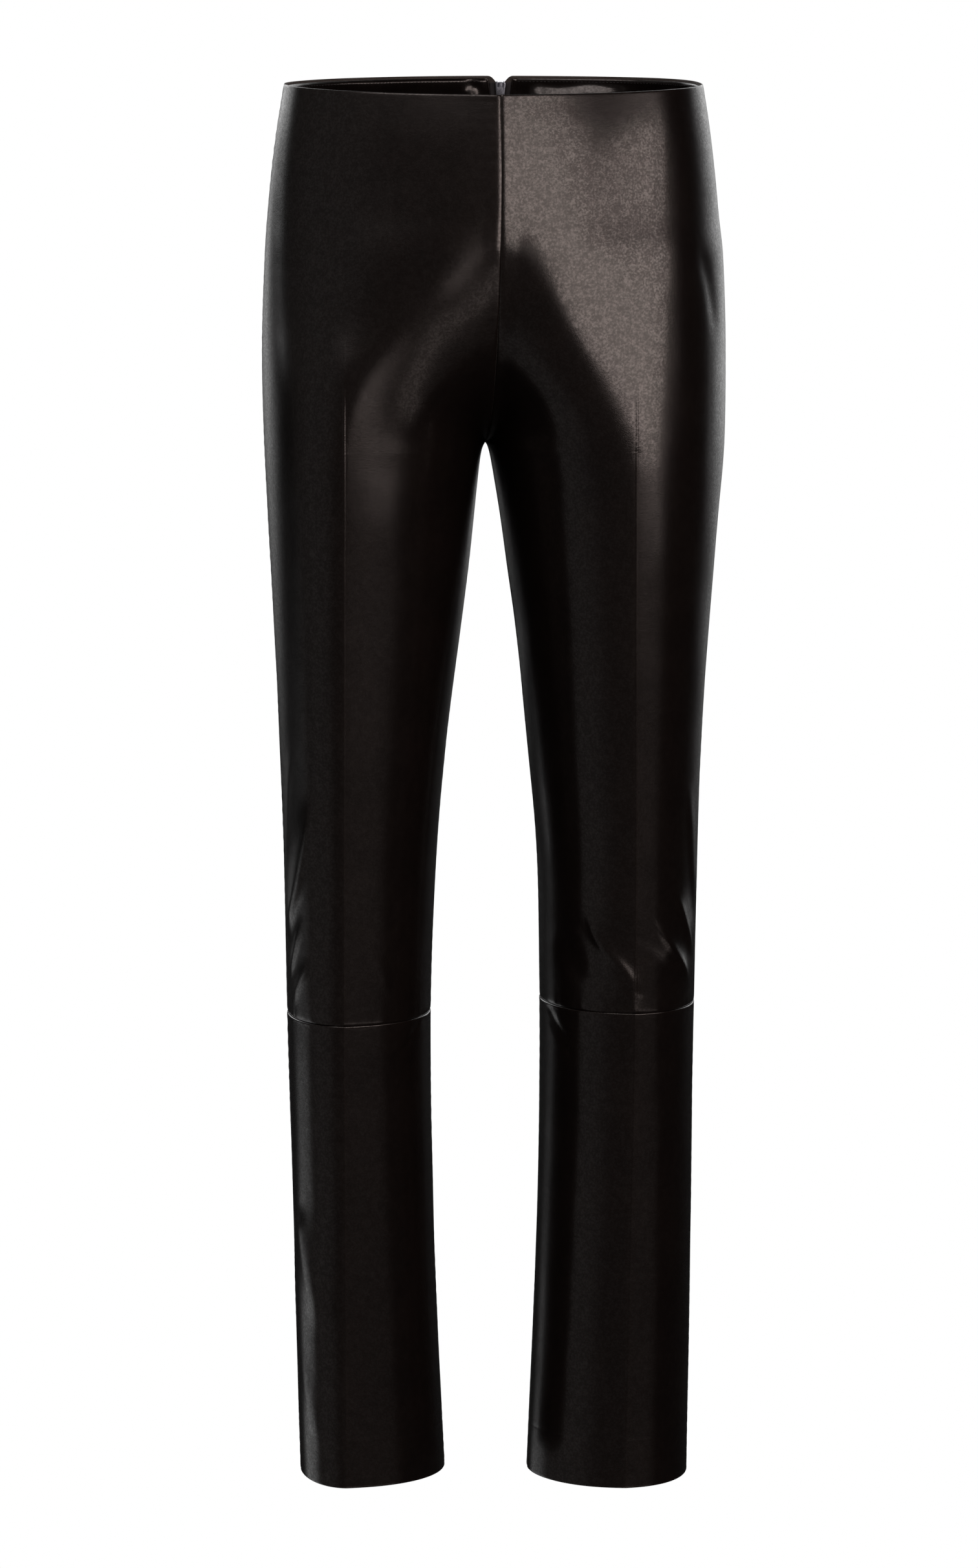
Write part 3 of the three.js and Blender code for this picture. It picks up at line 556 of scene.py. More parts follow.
# Adds the nodes of one material or world. Settings come first, then what goes into the sockets.
class NodeBench:
    def __init__(self, owner):
        owner.use_nodes = True
        self.tree = owner.node_tree
        self.tree.nodes.clear()

    def add(self, kind, settings=None, inputs=None, output=0):
        node = self.tree.nodes.new(kind)
        for setting, value in (settings or {}).items():
            if setting == "stops":
                self.setStops(node, value)
            else:
                setattr(node, setting, value)
        for socket, value in (inputs or {}).items():
            if isinstance(value, Channel):
                self.tree.links.new(value.socket, node.inputs[socket])
            else:
                node.inputs[socket].default_value = value
        return Channel(self, node.outputs[output]) if len(node.outputs) else None

    def setStops(self, node, stops):
        elements = node.color_ramp.elements
        while len(elements) < len(stops):
            elements.new(0.5)
        for element, (position, colour) in zip(elements, stops):
            element.position = position
            element.color = colour

    # The three axes of a place or direction, each from a node of its own.
    def axes(self, place):
        return [self.add("ShaderNodeSeparateXYZ", {}, {"Vector": place}, axis)
                for axis in range(3)]

    # A bump over the one below it, if there is one.
    def relief(self, height, distance, strength=1.0, below=None):
        inputs = {"Strength": strength, "Distance": distance, "Height": height}
        if below is not None:
            inputs["Normal"] = below
        return self.add("ShaderNodeBump", {}, inputs)

    # The material's one shader, and its output.
    def surface(self, colour, roughness, normal, extras=None):
        inputs = {"Base Color": colour, "Roughness": roughness, "Normal": normal}
        shader = self.add("ShaderNodeBsdfPrincipled", {}, {**inputs, **(extras or {})})
        self.add("ShaderNodeOutputMaterial", {}, {"Surface": shader})

    def mixColours(self, share, first, second):
        return self.add("ShaderNodeMix", {"data_type": "RGBA"}, {0: share, 6: first, 7: second}, 2)

    def spread(self, value, low, high, toLow=0.0, toHigh=1.0, kind="SMOOTHSTEP"):
        return self.add("ShaderNodeMapRange", {"interpolation_type": kind},
                        {"Value": value, "From Min": low, "From Max": high,
                         "To Min": toLow, "To Max": toHigh})

    def noise(self, place, scale, detail=2.0, roughness=0.5):
        return self.add("ShaderNodeTexNoise", {},
                        {"Vector": place, "Scale": scale, "Detail": detail,
                         "Roughness": roughness})

    def grains(self, place, scale, feature="F1", smoothness=None):
        inputs = {"Vector": place, "Scale": scale}
        if smoothness is not None:
            inputs["Smoothness"] = smoothness
        return self.add("ShaderNodeTexVoronoi", {"feature": feature}, inputs)


# A grey whose red grows and whose blue falls, a third as much, with its warmth.
def grey(value, warmth=0.0):
    return (value * (1 + 1.5 * warmth), value, value * (1 - 0.5 * warmth), 1.0)


# A new material: itself, the bench that adds its nodes, and the place on the piece.
def newMaterial(name):
    material = bpy.data.materials.new(name)
    bench = NodeBench(material)
    return material, bench, bench.add("ShaderNodeTexCoord", output="Object")


leatherFinish = {
    "colour": (0.0042, 0.0030, 0.0027, 1.0),
    "wornColour": (0.0095, 0.0068, 0.0058, 1.0),
    "roughness": 0.20,
    "roughnessSpread": 0.03,
    "cloud": 26.0,
    "mottle": 190.0,
    "wrinkle": 560.0,
    "pebble": 1650.0,
    "fineGrain": 3200.0,
    "pebbleHeight": 0.00005,
    "wrinkleHeight": 0.000022,
    "creaseWidth": 1.4,
    "creaseHeight": 0.0003,
    "speckle": 620.0,
    "coatLow": 0.12,
    "coatHigh": 0.84,
    "coatRange": (0.40, 0.66),
    "coatRoughness": 0.14,
    "shadeRange": (0.35, 0.7),
    "rubbedShare": 0.7,
    "rubbedGloss": 0.05,
    "pebbleGloss": 0.03,
    "pebbleShare": 0.75,
    "ior": 1.4,
}


# Smooth black leather: pebbles a little under a millimetre across with a finer grain between
# them, a finish that lies unevenly in specks, the sharp line of the pressed crease, slow changes
# of gloss, and paler, glossier places where it is folded or rubbed.
def smoothLeather(name, finish):
    material, bench, place = newMaterial(name)
    rubbed = bench.add("ShaderNodeAttribute", {"attribute_name": "rubbed"}, output="Fac")
    cloud = bench.noise(place, finish["cloud"], 3.0, 0.55)
    mottle = bench.noise(place, finish["mottle"], 3.0, 0.6)
    pebble = bench.grains(place, finish["pebble"], "SMOOTH_F1", 0.35)
    grain = bench.noise(place, finish["fineGrain"], 2.0, 0.6)
    shade = bench.spread(cloud * 0.6 + mottle * 0.4, *finish["shadeRange"])
    worn = rubbed * finish["rubbedShare"] + shade * (1 - finish["rubbedShare"])
    colour = bench.mixColours(worn, finish["colour"], finish["wornColour"])
    spread = finish["roughnessSpread"]
    roughness = finish["roughness"] + (cloud - 0.5) * (2 * spread) + (mottle - 0.5) * spread
    roughness = roughness - rubbed * finish["rubbedGloss"] + (0.5 - pebble) * finish["pebbleGloss"]
    fromCrease = bench.add("ShaderNodeAttribute", {"attribute_name": "fromCrease"}, output="Fac")
    pressed = bench.add("ShaderNodeAttribute", {"attribute_name": "pressed"}, output="Fac")
    nearness = bench.add("ShaderNodeMath", {"operation": "ABSOLUTE"}, {0: fromCrease})
    ridge = bench.spread(nearness, 0.0, finish["creaseWidth"], 1.0, 0.0) * pressed
    creased = bench.relief(ridge, finish["creaseHeight"])
    wrinkle = bench.noise(place, finish["wrinkle"], 3.0, 0.55)
    wrinkled = bench.relief(wrinkle, finish["wrinkleHeight"], below=creased)
    speckle = bench.noise(place, finish["speckle"], 2.0, 0.7)
    coat = bench.spread(speckle * 0.7 + mottle * 0.3, *finish["coatRange"], finish["coatLow"],
                        finish["coatHigh"])
    height = (1 - pebble) * finish["pebbleShare"] + grain * (1 - finish["pebbleShare"])
    bump = bench.relief(height, finish["pebbleHeight"], below=wrinkled)
    bench.surface(colour, roughness, bump, {"IOR": finish["ior"], "Coat Weight": coat,
                                            "Coat Roughness": finish["coatRoughness"]})
    return material


suedeFinish = {"colour": (0.030, 0.026, 0.024, 1.0), "fibre": (0.060, 0.052, 0.047, 1.0),
               "roughness": 0.92, "fibres": 900.0, "cloud": 45.0, "nap": 0.0002}


# The leather's flesh side and its cut edges: matt, with short fibres.
def suedeSide(name, finish):
    material, bench, place = newMaterial(name)
    fibres = bench.noise(place, finish["fibres"], 4.0, 0.7)
    cloud = bench.noise(place, finish["cloud"], 2.0, 0.5)
    colour = bench.mixColours(bench.spread(fibres * 0.7 + cloud * 0.3, 0.35, 0.7),
                              finish["colour"], finish["fibre"])
    bump = bench.relief(fibres, finish["nap"], 0.8)
    bench.surface(colour, finish["roughness"], bump, {"Sheen Weight": 0.15})
    return material


tapeFinish = {"colour": (0.010, 0.010, 0.012, 1.0), "rib": (0.026, 0.026, 0.030, 1.0),
              "roughness": 0.85, "ribPitch": 0.0007, "weftPerRib": 1.6, "fuzz": 1500.0,
              "relief": 0.00015}


# Woven zip tape: ribs along its length and a finer weft across it.
def wovenTape(name, finish):
    material, bench, place = newMaterial(name)
    around = 2 * math.pi / finish["ribPitch"]
    x, _, z = bench.axes(place)
    ribs = bench.add("ShaderNodeMath", {"operation": "SINE"}, {0: x * around})
    weft = bench.add("ShaderNodeMath", {"operation": "SINE"},
                     {0: z * (around * finish["weftPerRib"])})
    weave = ribs * 0.35 + weft * 0.15 + 0.5
    fuzz = bench.noise(place, finish["fuzz"], 2.0, 0.6)
    colour = bench.mixColours(weave * 0.7 + fuzz * 0.3, finish["colour"], finish["rib"])
    bump = bench.relief(weave + fuzz * 0.3, finish["relief"], 0.7)
    bench.surface(colour, finish["roughness"], bump, {"Sheen Weight": 0.1})
    return material


coilFinish = {"colour": (0.012, 0.012, 0.014, 1.0), "scuffed": (0.03, 0.03, 0.033, 1.0),
              "marks": 1300.0, "relief": 0.00005, "coilRoughness": 0.38,
              "threadRoughness": 0.55}


# Black nylon of the zip's coils, and of the sewing thread.
def nylon(name, finish, roughness):
    material, bench, place = newMaterial(name)
    marks = bench.noise(place, finish["marks"], 3.0, 0.6)
    colour = bench.mixColours(bench.spread(marks, 0.4, 0.7), finish["colour"], finish["scuffed"])
    gloss = roughness + (marks - 0.5) * 0.15
    bench.surface(colour, gloss, bench.relief(marks, finish["relief"], 0.4))
    return material


metalFinish = {"colour": (0.36, 0.40, 0.47, 1.0), "dull": (0.17, 0.19, 0.23, 1.0),
               "roughness": 0.30, "specks": 1400.0, "cloud": 330.0, "relief": 0.00005}


# Blue-grey enamelled metal of the slider and its pull, with dull specks and a fine bump from them.
def zipMetal(name, finish):
    material, bench, place = newMaterial(name)
    specks = bench.noise(place, finish["specks"], 3.0, 0.6)
    cloud = bench.noise(place, finish["cloud"], 2.0, 0.5)
    dullness = bench.spread(specks * 0.5 + cloud * 0.5, 0.42, 0.66)
    colour = bench.mixColours(dullness, finish["colour"], finish["dull"])
    gloss = finish["roughness"] + dullness * 0.2
    bump = bench.relief(specks, finish["relief"], 0.5)
    bench.surface(colour, gloss, bump, {"Metallic": 0.85})
    return material


blackLeather = smoothLeather("black_leather", leatherFinish)
fleshSide = suedeSide("flesh_side", suedeFinish)
tapeWeave = wovenTape("zip_tape_weave", tapeFinish)
coilNylon = nylon("zip_coil_nylon", coilFinish, coilFinish["coilRoughness"])
sewingThread = nylon("sewing_thread", coilFinish, coilFinish["threadRoughness"])
paintedMetal = zipMetal("zip_slider_metal", metalFinish)
print("materials made")

# The fine form of the panels, in millimetres. edgeSteps are the distances from a seam or a cut
# edge at which a panel has points of its own, and waves go from the shortest to the longest.
panelDetail = {
    "edgeSteps": [0.0, 0.12, 0.3, 0.55, 0.85, 1.2, 1.7, 2.4, 3.3, 4.6, 6.2],
    "columnStep": 2.6,
    "rowStep": 3.2,
    "kneeStep": 1.6,
    "leastStep": 0.055,
    "kneeAbove": 90.0,
    "kneeBelow": 50.0,
    "crotchRows": {"count": 22, "turned": 0.5, "drop": 12.0, "power": 1.6},
    "roll": {"depth": 0.75, "width": 0.75, "zipShare": 0.4, "zipEnd": -185.0, "zipFull": -150.0},
    "seamSwell": {"height": 0.07, "start": 1.5, "full": 3.5, "fall": 8.0, "end": 12.0},
    "pucker": {"height": 0.11, "length": 9.0, "reach": 7.0, "full": 2.0, "middleShare": 0.9,
               "uneven": (30.0, 90.0, 0.8), "drift": (40.0, 110.0, 2.4)},
    "kneeDip": {"upper": (1.0, 0.9), "lower": (0.3, 0.16)},
    "kneePucker": {"upper": 0.14, "lower": 0.10, "length": 11.0, "reach": 6.0, "full": 2.0,
                   "drift": (30.0, 80.0, 2.0)},
    "kneeLip": {"height": 0.04, "place": 1.0, "width": 0.9},
    "edgeRound": {"depth": 0.5, "width": 0.35},
    "hemTurn": {"height": 34.0, "thickness": 0.8, "edge": 0.8, "mark": 0.05, "markWidth": 1.1,
                "steps": [-1.2, -0.6, 0.0, 0.6, 1.2]},
    "waves": (45.0, 130.0, 0.16),
    "ripples": (14.0, 34.0, 0.018),
    "rub": {"crease": (0.5, 1.6), "seam": (0.5, 1.4), "opening": (0.6, 1.2)},
}

# Half of the opening between the back panels at each height, where their corners are turned
# away round the slider.
zipNotch = np.array([(-16, 0.05), (-13, 1.3), (-7, 1.5), (-5.5, 2.1), (-4, 3.1), (-2.5, 4.4),
                     (-1.5, 5.4), (-0.8, 6.3), (-0.3, 7.3), (-0.1, 8.0), (0, 9.0)])


# Heights of a panel's rows: close together at its ends, at the knee and where the crotch turns.
def panelRows(face, top, bottom, isUpper):
    detail = panelDetail
    edge = np.array(detail["edgeSteps"])
    rows = [top - edge, bottom + edge]
    if isUpper:
        kneeTop = bottom + detail["kneeAbove"]
        rise, crotchRows = trousers["faces"][face]["rise"], detail["crotchRows"]
        turned = np.linspace(0, crotchRows["turned"], crotchRows["count"])
        rows += [
            np.arange(top - edge[-1], kneeTop, -detail["rowStep"]),
            np.arange(kneeTop, bottom + edge[-1], -detail["kneeStep"]),
            trousers["crotch"] + rise * (1 - np.sqrt(1 - turned ** 2)),
            trousers["crotch"] - crotchRows["drop"] * turned ** crotchRows["power"],
        ]
        if face == "back":
            rows.append(zipNotch[1:, 0])
    else:
        kneeEnd = top - detail["kneeBelow"]
        rows += [
            np.arange(top - edge[-1], kneeEnd, -detail["kneeStep"]),
            np.arange(kneeEnd, bottom + edge[-1], -detail["rowStep"]),
            bottom + detail["hemTurn"]["height"] + np.array(detail["hemTurn"]["steps"]),
        ]
    rows = np.sort(np.concatenate(rows))[::-1]
    kept = np.concatenate([[True], np.abs(np.diff(rows)) > detail["leastStep"]])
    kept[-1] = True
    return rows[kept]


# Distances from the side seam at every row of a panel, and where they start and end: half a gap
# inside the seams, and at the notch's edge round the slider.
def panelRuns(side, face, isUpper, z, fullRun):
    gap = trousers["seamGap"]
    trim = np.full(z.shape, gap / 2)
    if face == "back" and isUpper:
        trim = np.interp(z, zipNotch[:, 0], zipNotch[:, 1], left=gap / 2)
    start, end = gap / 2 + 0 * fullRun, fullRun - trim[:, None]
    even = int(round(float((end - start).max()) / panelDetail["columnStep"]))
    return spacedRuns(start, end, panelDetail["edgeSteps"], even), start, end


# How far a panel stands out over its grid, how far its open end is rounded off, and the slow
# waves that both its sides share: the edges roll in along the seams by an exponential, with a
# swell beside them and sines of uneven height across them, and the knee seam lies in a dip.
def panelRelief(side, face, isUpper, along, height, distances):
    detail, level = panelDetail, "upper" if isUpper else "lower"
    fromSide, fromMiddle, fromTop, fromBottom = distances
    seed = {"right": 1, "left": 2}[side] * 10 + {"front": 1, "back": 2}[face] + 4 * isUpper
    roll, swell, pucker = detail["roll"], detail["seamSwell"], detail["pucker"]
    raised = -roll["depth"] * np.exp(-fromSide / roll["width"])
    middleRoll = -roll["depth"] * np.exp(-fromMiddle / roll["width"])
    if face == "back":
        beside = smoothStep(roll["zipEnd"], roll["zipFull"], height)
        middleRoll = middleRoll * (1 + roll["zipShare"] * beside)
    raised = raised + middleRoll
    for distance in (fromSide, fromMiddle):
        raised += swell["height"] * smoothStep(swell["start"], swell["full"], distance) * (
            1 - smoothStep(swell["fall"], swell["end"], distance))
    shortest, longest, share = pucker["uneven"]
    unevenness = 1 + share * leatherWaves(0 * along, height, seed + 50, shortest, longest, 1.0)
    phase = 2 * math.pi * height / pucker["length"] + leatherWaves(
        0 * along, height, seed, *pucker["drift"])
    for distance, amount in ((fromSide, 1.0), (fromMiddle, pucker["middleShare"])):
        raised += pucker["height"] * amount * unevenness * np.sin(phase) * np.exp(
            -distance / pucker["reach"]) * smoothStep(0, pucker["full"], distance)
    waves = leatherWaves(along, height, seed + 100, *detail["waves"])
    raised += waves + leatherWaves(along, height, seed + 200, *detail["ripples"])
    cross, ends = detail["kneePucker"], detail["edgeRound"]
    fromKnee, fromOpening = (fromBottom, fromTop) if isUpper else (fromTop, fromBottom)
    crossPhase = 2 * math.pi * along / cross["length"] + leatherWaves(
        along, 0 * height, seed + 7, *cross["drift"])
    depth, width = detail["kneeDip"][level]
    raised += -depth * np.exp(-fromKnee / width)
    raised += cross[level] * np.sin(crossPhase) * np.exp(-fromKnee / cross["reach"]) * smoothStep(
        0, cross["full"], fromKnee)
    if not isUpper:
        lip, turn = detail["kneeLip"], detail["hemTurn"]
        raised += lip["height"] * bell(fromTop - lip["place"], lip["width"])
        raised += -turn["mark"] * bell(fromBottom - turn["height"], turn["markWidth"])
    return raised, -ends["depth"] * np.exp(-fromOpening / ends["width"]), waves


# How much a panel is rubbed: the sum of exponentials that fall off from its crease, its seams
# and its open end.
def panelRub(isUpper, along, pressed, distances):
    rub = panelDetail["rub"]
    fromSide, fromMiddle, fromTop, fromBottom = distances
    fromKnee, fromOpening = (fromBottom, fromTop) if isUpper else (fromTop, fromBottom)
    creaseRub = np.exp(-np.abs(along) / rub["crease"][1]) * pressed
    seamRub = np.exp(-np.minimum(np.minimum(fromSide, fromMiddle), fromKnee) / rub["seam"][1])
    openRub = np.exp(-fromOpening / rub["opening"][1])
    return np.clip(rub["crease"][0] * creaseRub + rub["seam"][0] * seamRub
                   + rub["opening"][0] * openRub, 0, 1)


# One cut piece of leather: its outer grid is the panel's surface raised by the relief, and its
# inner grid lies a wall's thickness inside, with only the slow waves.
def makePanel(side, face, level):
    isUpper = level == "upper"
    form, hemTurn = trousers["faces"][face], panelDetail["hemTurn"]
    kneeSeam, gap = trousers["sides"][side]["kneeSeam"], trousers["seamGap"]
    top = 0.0 if isUpper else kneeSeam - gap / 2
    bottom = kneeSeam + gap / 2 if isUpper else trousers["sides"][side]["hem"]
    z = panelRows(face, top, bottom, isUpper)
    _, _, lineRun, creaseRun = panelLines(side, face, z)
    run, start, end = panelRuns(side, face, isUpper, z, lineRun[:, -1:])
    foldSet = folds.get((side, face) if isUpper else (side, face, "lower"), [])
    points = panelSurface(side, face, z, run, foldSet)
    normals = panelNormals(side, face, z, points)

    distances = run - start, end - run, (top - z)[:, None], (z - bottom)[:, None]
    along, height = creaseRun - run, z[:, None] + 0 * run
    raised, rounded, waves = panelRelief(side, face, isUpper, along, height, distances)
    outer = points + normals * (raised + rounded)[..., None]
    wall = np.full(run.shape, trousers["wall"])
    if not isUpper:
        wall += hemTurn["thickness"] * (
            1 - smoothStep(0, hemTurn["edge"], distances[3] - hemTurn["height"]))
    inner = points + normals * (waves - wall - rounded)[..., None]
    clearOfMiddle(side, outer, z, gap / 2)
    clearOfMiddle(side, inner, z, gap / 2)

    pressed = smoothStep(form["creaseTop"], form["creaseFull"], height)
    values = {"rubbed": panelRub(isUpper, along, pressed, distances),
              "fromCrease": along, "pressed": pressed}
    piece = wallPiece(f"{face}_panel_{level}_{side}", outer, inner, [blackLeather, fleshSide],
                      values=values)
    placePiece(piece, "trousers", "leather", f"{face}_{level}_{side}")
    printCut(points, start, end)
    return piece


# Prints a panel's flat size, measured over its points before the fine detail.
def printCut(points, start, end):
    down, across = np.gradient(points, axis=0), np.gradient(points, axis=1)
    length = np.linalg.norm(np.diff(points, axis=0), axis=2).sum(axis=0).max()
    area = np.linalg.norm(np.cross(down, across), axis=2)[1:-1, 1:-1].sum()
    print("   cut", round((end - start).max()), "by", round(length), "mm, area",
          round(area * metres ** 2, 4))


panels = {}
for side in trousers["sides"]:
    for face in trousers["faces"]:
        for level in ("upper", "lower"):
            panels[face, level, side] = makePanel(side, face, level)
print("panels made")


# How the strips inside the back panels are rounded: start is the first one's distance from the
# side seam, and depth and reach are shares of a strip's thickness.
stripEdge = {"start": 0.6, "depth": 0.35, "reach": 0.3, "leastReach": 0.05}


# What lies inside a back panel: a strip between two distances from the middle seam, moved in
# from the leather's outer surface by its gap, with rounded edges.
def innerStrip(side, z, farther, nearer, gap, thickness, columns, edgeSteps):
    _, _, lineRun, _ = panelLines(side, "back", z)
    fullRun = lineRun[:, -1:]
    start = np.full(fullRun.shape, stripEdge["start"])
    if farther is not None:
        start = fullRun - farther[:, None]
    end = fullRun - nearer[:, None]
    run = spacedRuns(start, end, edgeSteps, columns)
    points = panelSurface(side, "back", z, run)
    normals = panelNormals(side, "back", z, points, farther is None, False)
    depth = trousers["wall"] + gap
    ends = np.minimum(run - start, end - run)
    heights = np.minimum((z[0] - z)[:, None], (z - z[-1])[:, None])
    reach = stripEdge["reach"] * thickness + stripEdge["leastReach"]
    softened = stripEdge["depth"] * thickness * np.exp(
        -np.minimum(ends, heights + 0 * run) / reach)
    near = points - normals * (depth + softened)[..., None]
    far = points - normals * (depth + thickness - softened)[..., None]
    return run, near, far, normals, end


# The facings inside the back waist. Distances along are from the middle seam's edge, and the
# waves go from the shortest to the longest.
facing = {
    "top": -1.5,
    "bottom": -46.0,
    "edgeTop": 8.7,
    "edgeBelow": 6.6,
    "edgeFall": 12.0,
    "gap": 0.45,
    "thickness": 1.0,
    "columns": 84,
    "rowStep": 1.6,
    "rowEdges": [0.0, 0.1, 0.25, 0.5, 0.9, 1.5, 2.4],
    "columnEdges": [0.0, 0.12, 0.3, 0.6, 1.0, 1.5, 2.2],
    "roll": 0.75,
    "rollWidth": 0.9,
    "rollPlace": 0.7,
    "standing": 0.2,
    "waves": (16.0, 48.0, 0.30),
    "shift": (22.0, 60.0, 1.2),
    "bulge": 4.2,
    "bulgeStart": (2.6, 11.5),
    "bulgeEnd": (24.0, 44.0),
    "stretch": (10.0, 22.0, 62.0, 100.0),
    "spot": {"place": 14.0, "width": 4.5, "share": 0.8},
    "edgeLift": {"left": 0.3, "right": 1.3, "full": 1.5, "fall": 2.0, "end": 14.0},
    "wavesFull": 12.0,
    "sideFull": 14.0,
    "edgeFull": 5.0,
    "farthest": 4.6,
    "nearShare": 0.6,
    "rub": (0.6, 1.2),
    "cut": (0.20, 0.046),
}


# How far the facing stands off its panel: the left one comes away lower down over a stretch of
# its length, the right one stands off along the edge, and both have slow waves.
def facingBulge(side, run, z, fromEdge):
    below = facing["top"] - z
    waves = leatherWaves(run, z + 0 * run, 400 + len(side), *facing["waves"])
    shift = leatherWaves(run, 0 * (z + run), 420 + len(side), *facing["shift"])
    endStart, endFull = facing["bulgeEnd"]
    low = smoothStep(*facing["bulgeStart"], below + shift) * smoothStep(
        -endFull, -endStart, -below)
    lift = facing["edgeLift"]
    lift = lift[side] * smoothStep(0, lift["full"], below) * (
        1 - smoothStep(lift["fall"], lift["end"], below))
    if side == "left":
        rise, full, fall, end = facing["stretch"]
        stretch = smoothStep(rise, full, fromEdge) * (1 - smoothStep(fall, end, fromEdge))
        away = facing["bulge"] * stretch * low + lift
    else:
        spot = facing["spot"]
        share = bell(fromEdge - spot["place"], spot["width"])
        away = lift * (1 - share) + spot["share"] * facing["bulge"] * share * low
    standing = facing["standing"] + waves * smoothStep(0, facing["wavesFull"], below) + away
    return np.clip(standing, 0, facing["farthest"]) * smoothStep(0, facing["sideFull"], run)


# A facing: its edge rolls in by a bell, and its far side stands off by the bulge.
def makeFacing(side):
    edge = np.array(facing["rowEdges"])
    z = np.concatenate([facing["top"] - edge,
                        np.arange(facing["top"] - 4, facing["bottom"] + 3, -facing["rowStep"]),
                        facing["bottom"] + edge[::-1]])
    nearer = facing["edgeBelow"] + (facing["edgeTop"] - facing["edgeBelow"]) * np.clip(
        1 + (z - facing["top"]) / facing["edgeFall"], 0, 1)
    run, near, far, normals, end = innerStrip(
        side, z, None, nearer, facing["gap"], facing["thickness"], facing["columns"],
        facing["columnEdges"])
    fromEdge = end - run
    rolled = facing["roll"] * bell(fromEdge - facing["rollPlace"], facing["rollWidth"])
    standing = facingBulge(side, run, z[:, None], fromEdge) * smoothStep(
        0, facing["edgeFull"], fromEdge)
    inwards = (rolled + standing)[..., None]
    far = far - normals * inwards
    near = near - normals * (inwards * facing["nearShare"])
    share, reach = facing["rub"]
    piece = wallPiece(f"waist_facing_back_{side}", near, far, [blackLeather, fleshSide],
                      "inside", {"rubbed": np.exp(-fromEdge / reach) * share})
    return placePiece(piece, "trousers", "leather", f"facing_back_{side}")


stitching = {"pitch": 2.7, "length": 1.9, "radius": 0.2, "belowEdge": 3.4, "reach": 0.6,
             "start": 3.0,
             "endMargin": 14.0, "sunk": 0.12, "bow": 0.22, "blunt": 0.25, "sections": 6,
             "around": 6}


# One row of stitches along the facing: each is a short bow of thread whose middle stands out
# and whose ends dip into the leather.
def makeStitches(side):
    z = stitching["reach"] * np.array([1, 0, -1]) - stitching["belowEdge"]
    _, _, lineRun, _ = panelLines(side, "back", z)
    fullRun = lineRun[1, -1]
    count = int((fullRun - stitching["endMargin"]) / stitching["pitch"])
    starts = stitching["start"] + np.arange(count) * stitching["pitch"]
    t = np.linspace(0, 1, stitching["sections"])
    run = (starts[:, None] + t[None, :] * stitching["length"]).ravel()
    points = panelSurface(side, "back", z, np.tile(run, (3, 1)))
    normals = panelNormals(side, "back", z, points, False, False)
    centre, outwards = points[1], normals[1]
    inwards = facingBulge(side, run, z[1], fullRun - facing["edgeTop"] - run)
    bow = stitching["bow"] * np.tile(np.sin(math.pi * t), count) - stitching["sunk"]
    depth = trousers["wall"] + facing["gap"] + facing["thickness"] + inwards + bow
    centre = centre - outwards * depth[:, None]
    upwards = np.cross(outwards, unit(np.gradient(points[1], axis=0)))
    rounded = np.sqrt(np.clip(stitching["blunt"] + np.sin(math.pi * t), 0, 1))
    thick = np.tile(stitching["radius"] * rounded, count)[:, None, None]
    tube = tubePoints(centre, outwards, upwards, thick, stitching["around"])
    faces = tubeFaces(count, stitching["sections"], stitching["around"])
    piece = meshPiece(f"facing_stitches_{side}", tube, faces, [sewingThread])
    return placePiece(piece, "trousers", "leather")


# Faces of many equal closed tubes, each of some sections of some points round, with four-cornered
# caps whose corners repeat where the ring has more than four points.
def tubeFaces(tubes, sections, around):
    index = np.arange(tubes * sections * around).reshape(tubes, sections, around)
    following = np.roll(index, -1, axis=2)
    walls = np.stack([index[:, :-1], following[:, :-1], following[:, 1:], index[:, 1:]], axis=-1)
    first, last = index[:, 0], index[:, -1]
    caps = []
    for i in range(1, around - 1, 2):
        j = min(i + 2, around - 1)
        caps.append(np.stack([first[:, 0], first[:, j], first[:, i + 1], first[:, i]], axis=-1))
        caps.append(np.stack([last[:, 0], last[:, i], last[:, i + 1], last[:, j]], axis=-1))
    return np.concatenate([walls.reshape(-1, 4)] + caps)


facings = {side: makeFacing(side) for side in trousers["sides"]}
stitchRows = {side: makeStitches(side) for side in trousers["sides"]}
print("facings and stitches made")

# The zip's tapes and coils, inside the middle back seam. Distances are from the seam.
zipParts = {
    "top": -4.0,
    "bottom": -169.0,
    "sliderEnd": -14.0,
    "gap": 0.45,
    "tapeEdge": 7.6,
    "tapeThickness": 0.7,
    "tapeStep": 2.5,
    "tapeColumns": 6,
    "tapeEdges": [0.0, 0.15, 0.5],
    "tapeCut": (0.010, 0.166, 0.00083),
    "tapeRows": {"edges": [0.0, 0.3, 1.0], "start": 2.5, "end": 2.0, "last": [0.5, 0.0]},
    "besideSlider": 3.9,
    "besideCoil": 2.6,
    "wire": 0.27,
    "pitch": 1.25,
    "packing": 0.996,
    "leftOffset": 0.2,
    "coilInner": 0.15,
    "coilOuter": 2.25,
    "coilThickness": 1.7,
    "perTurn": 12,
    "around": 5,
    "seamSteps": [2.0, 1.0, 0.05],
}


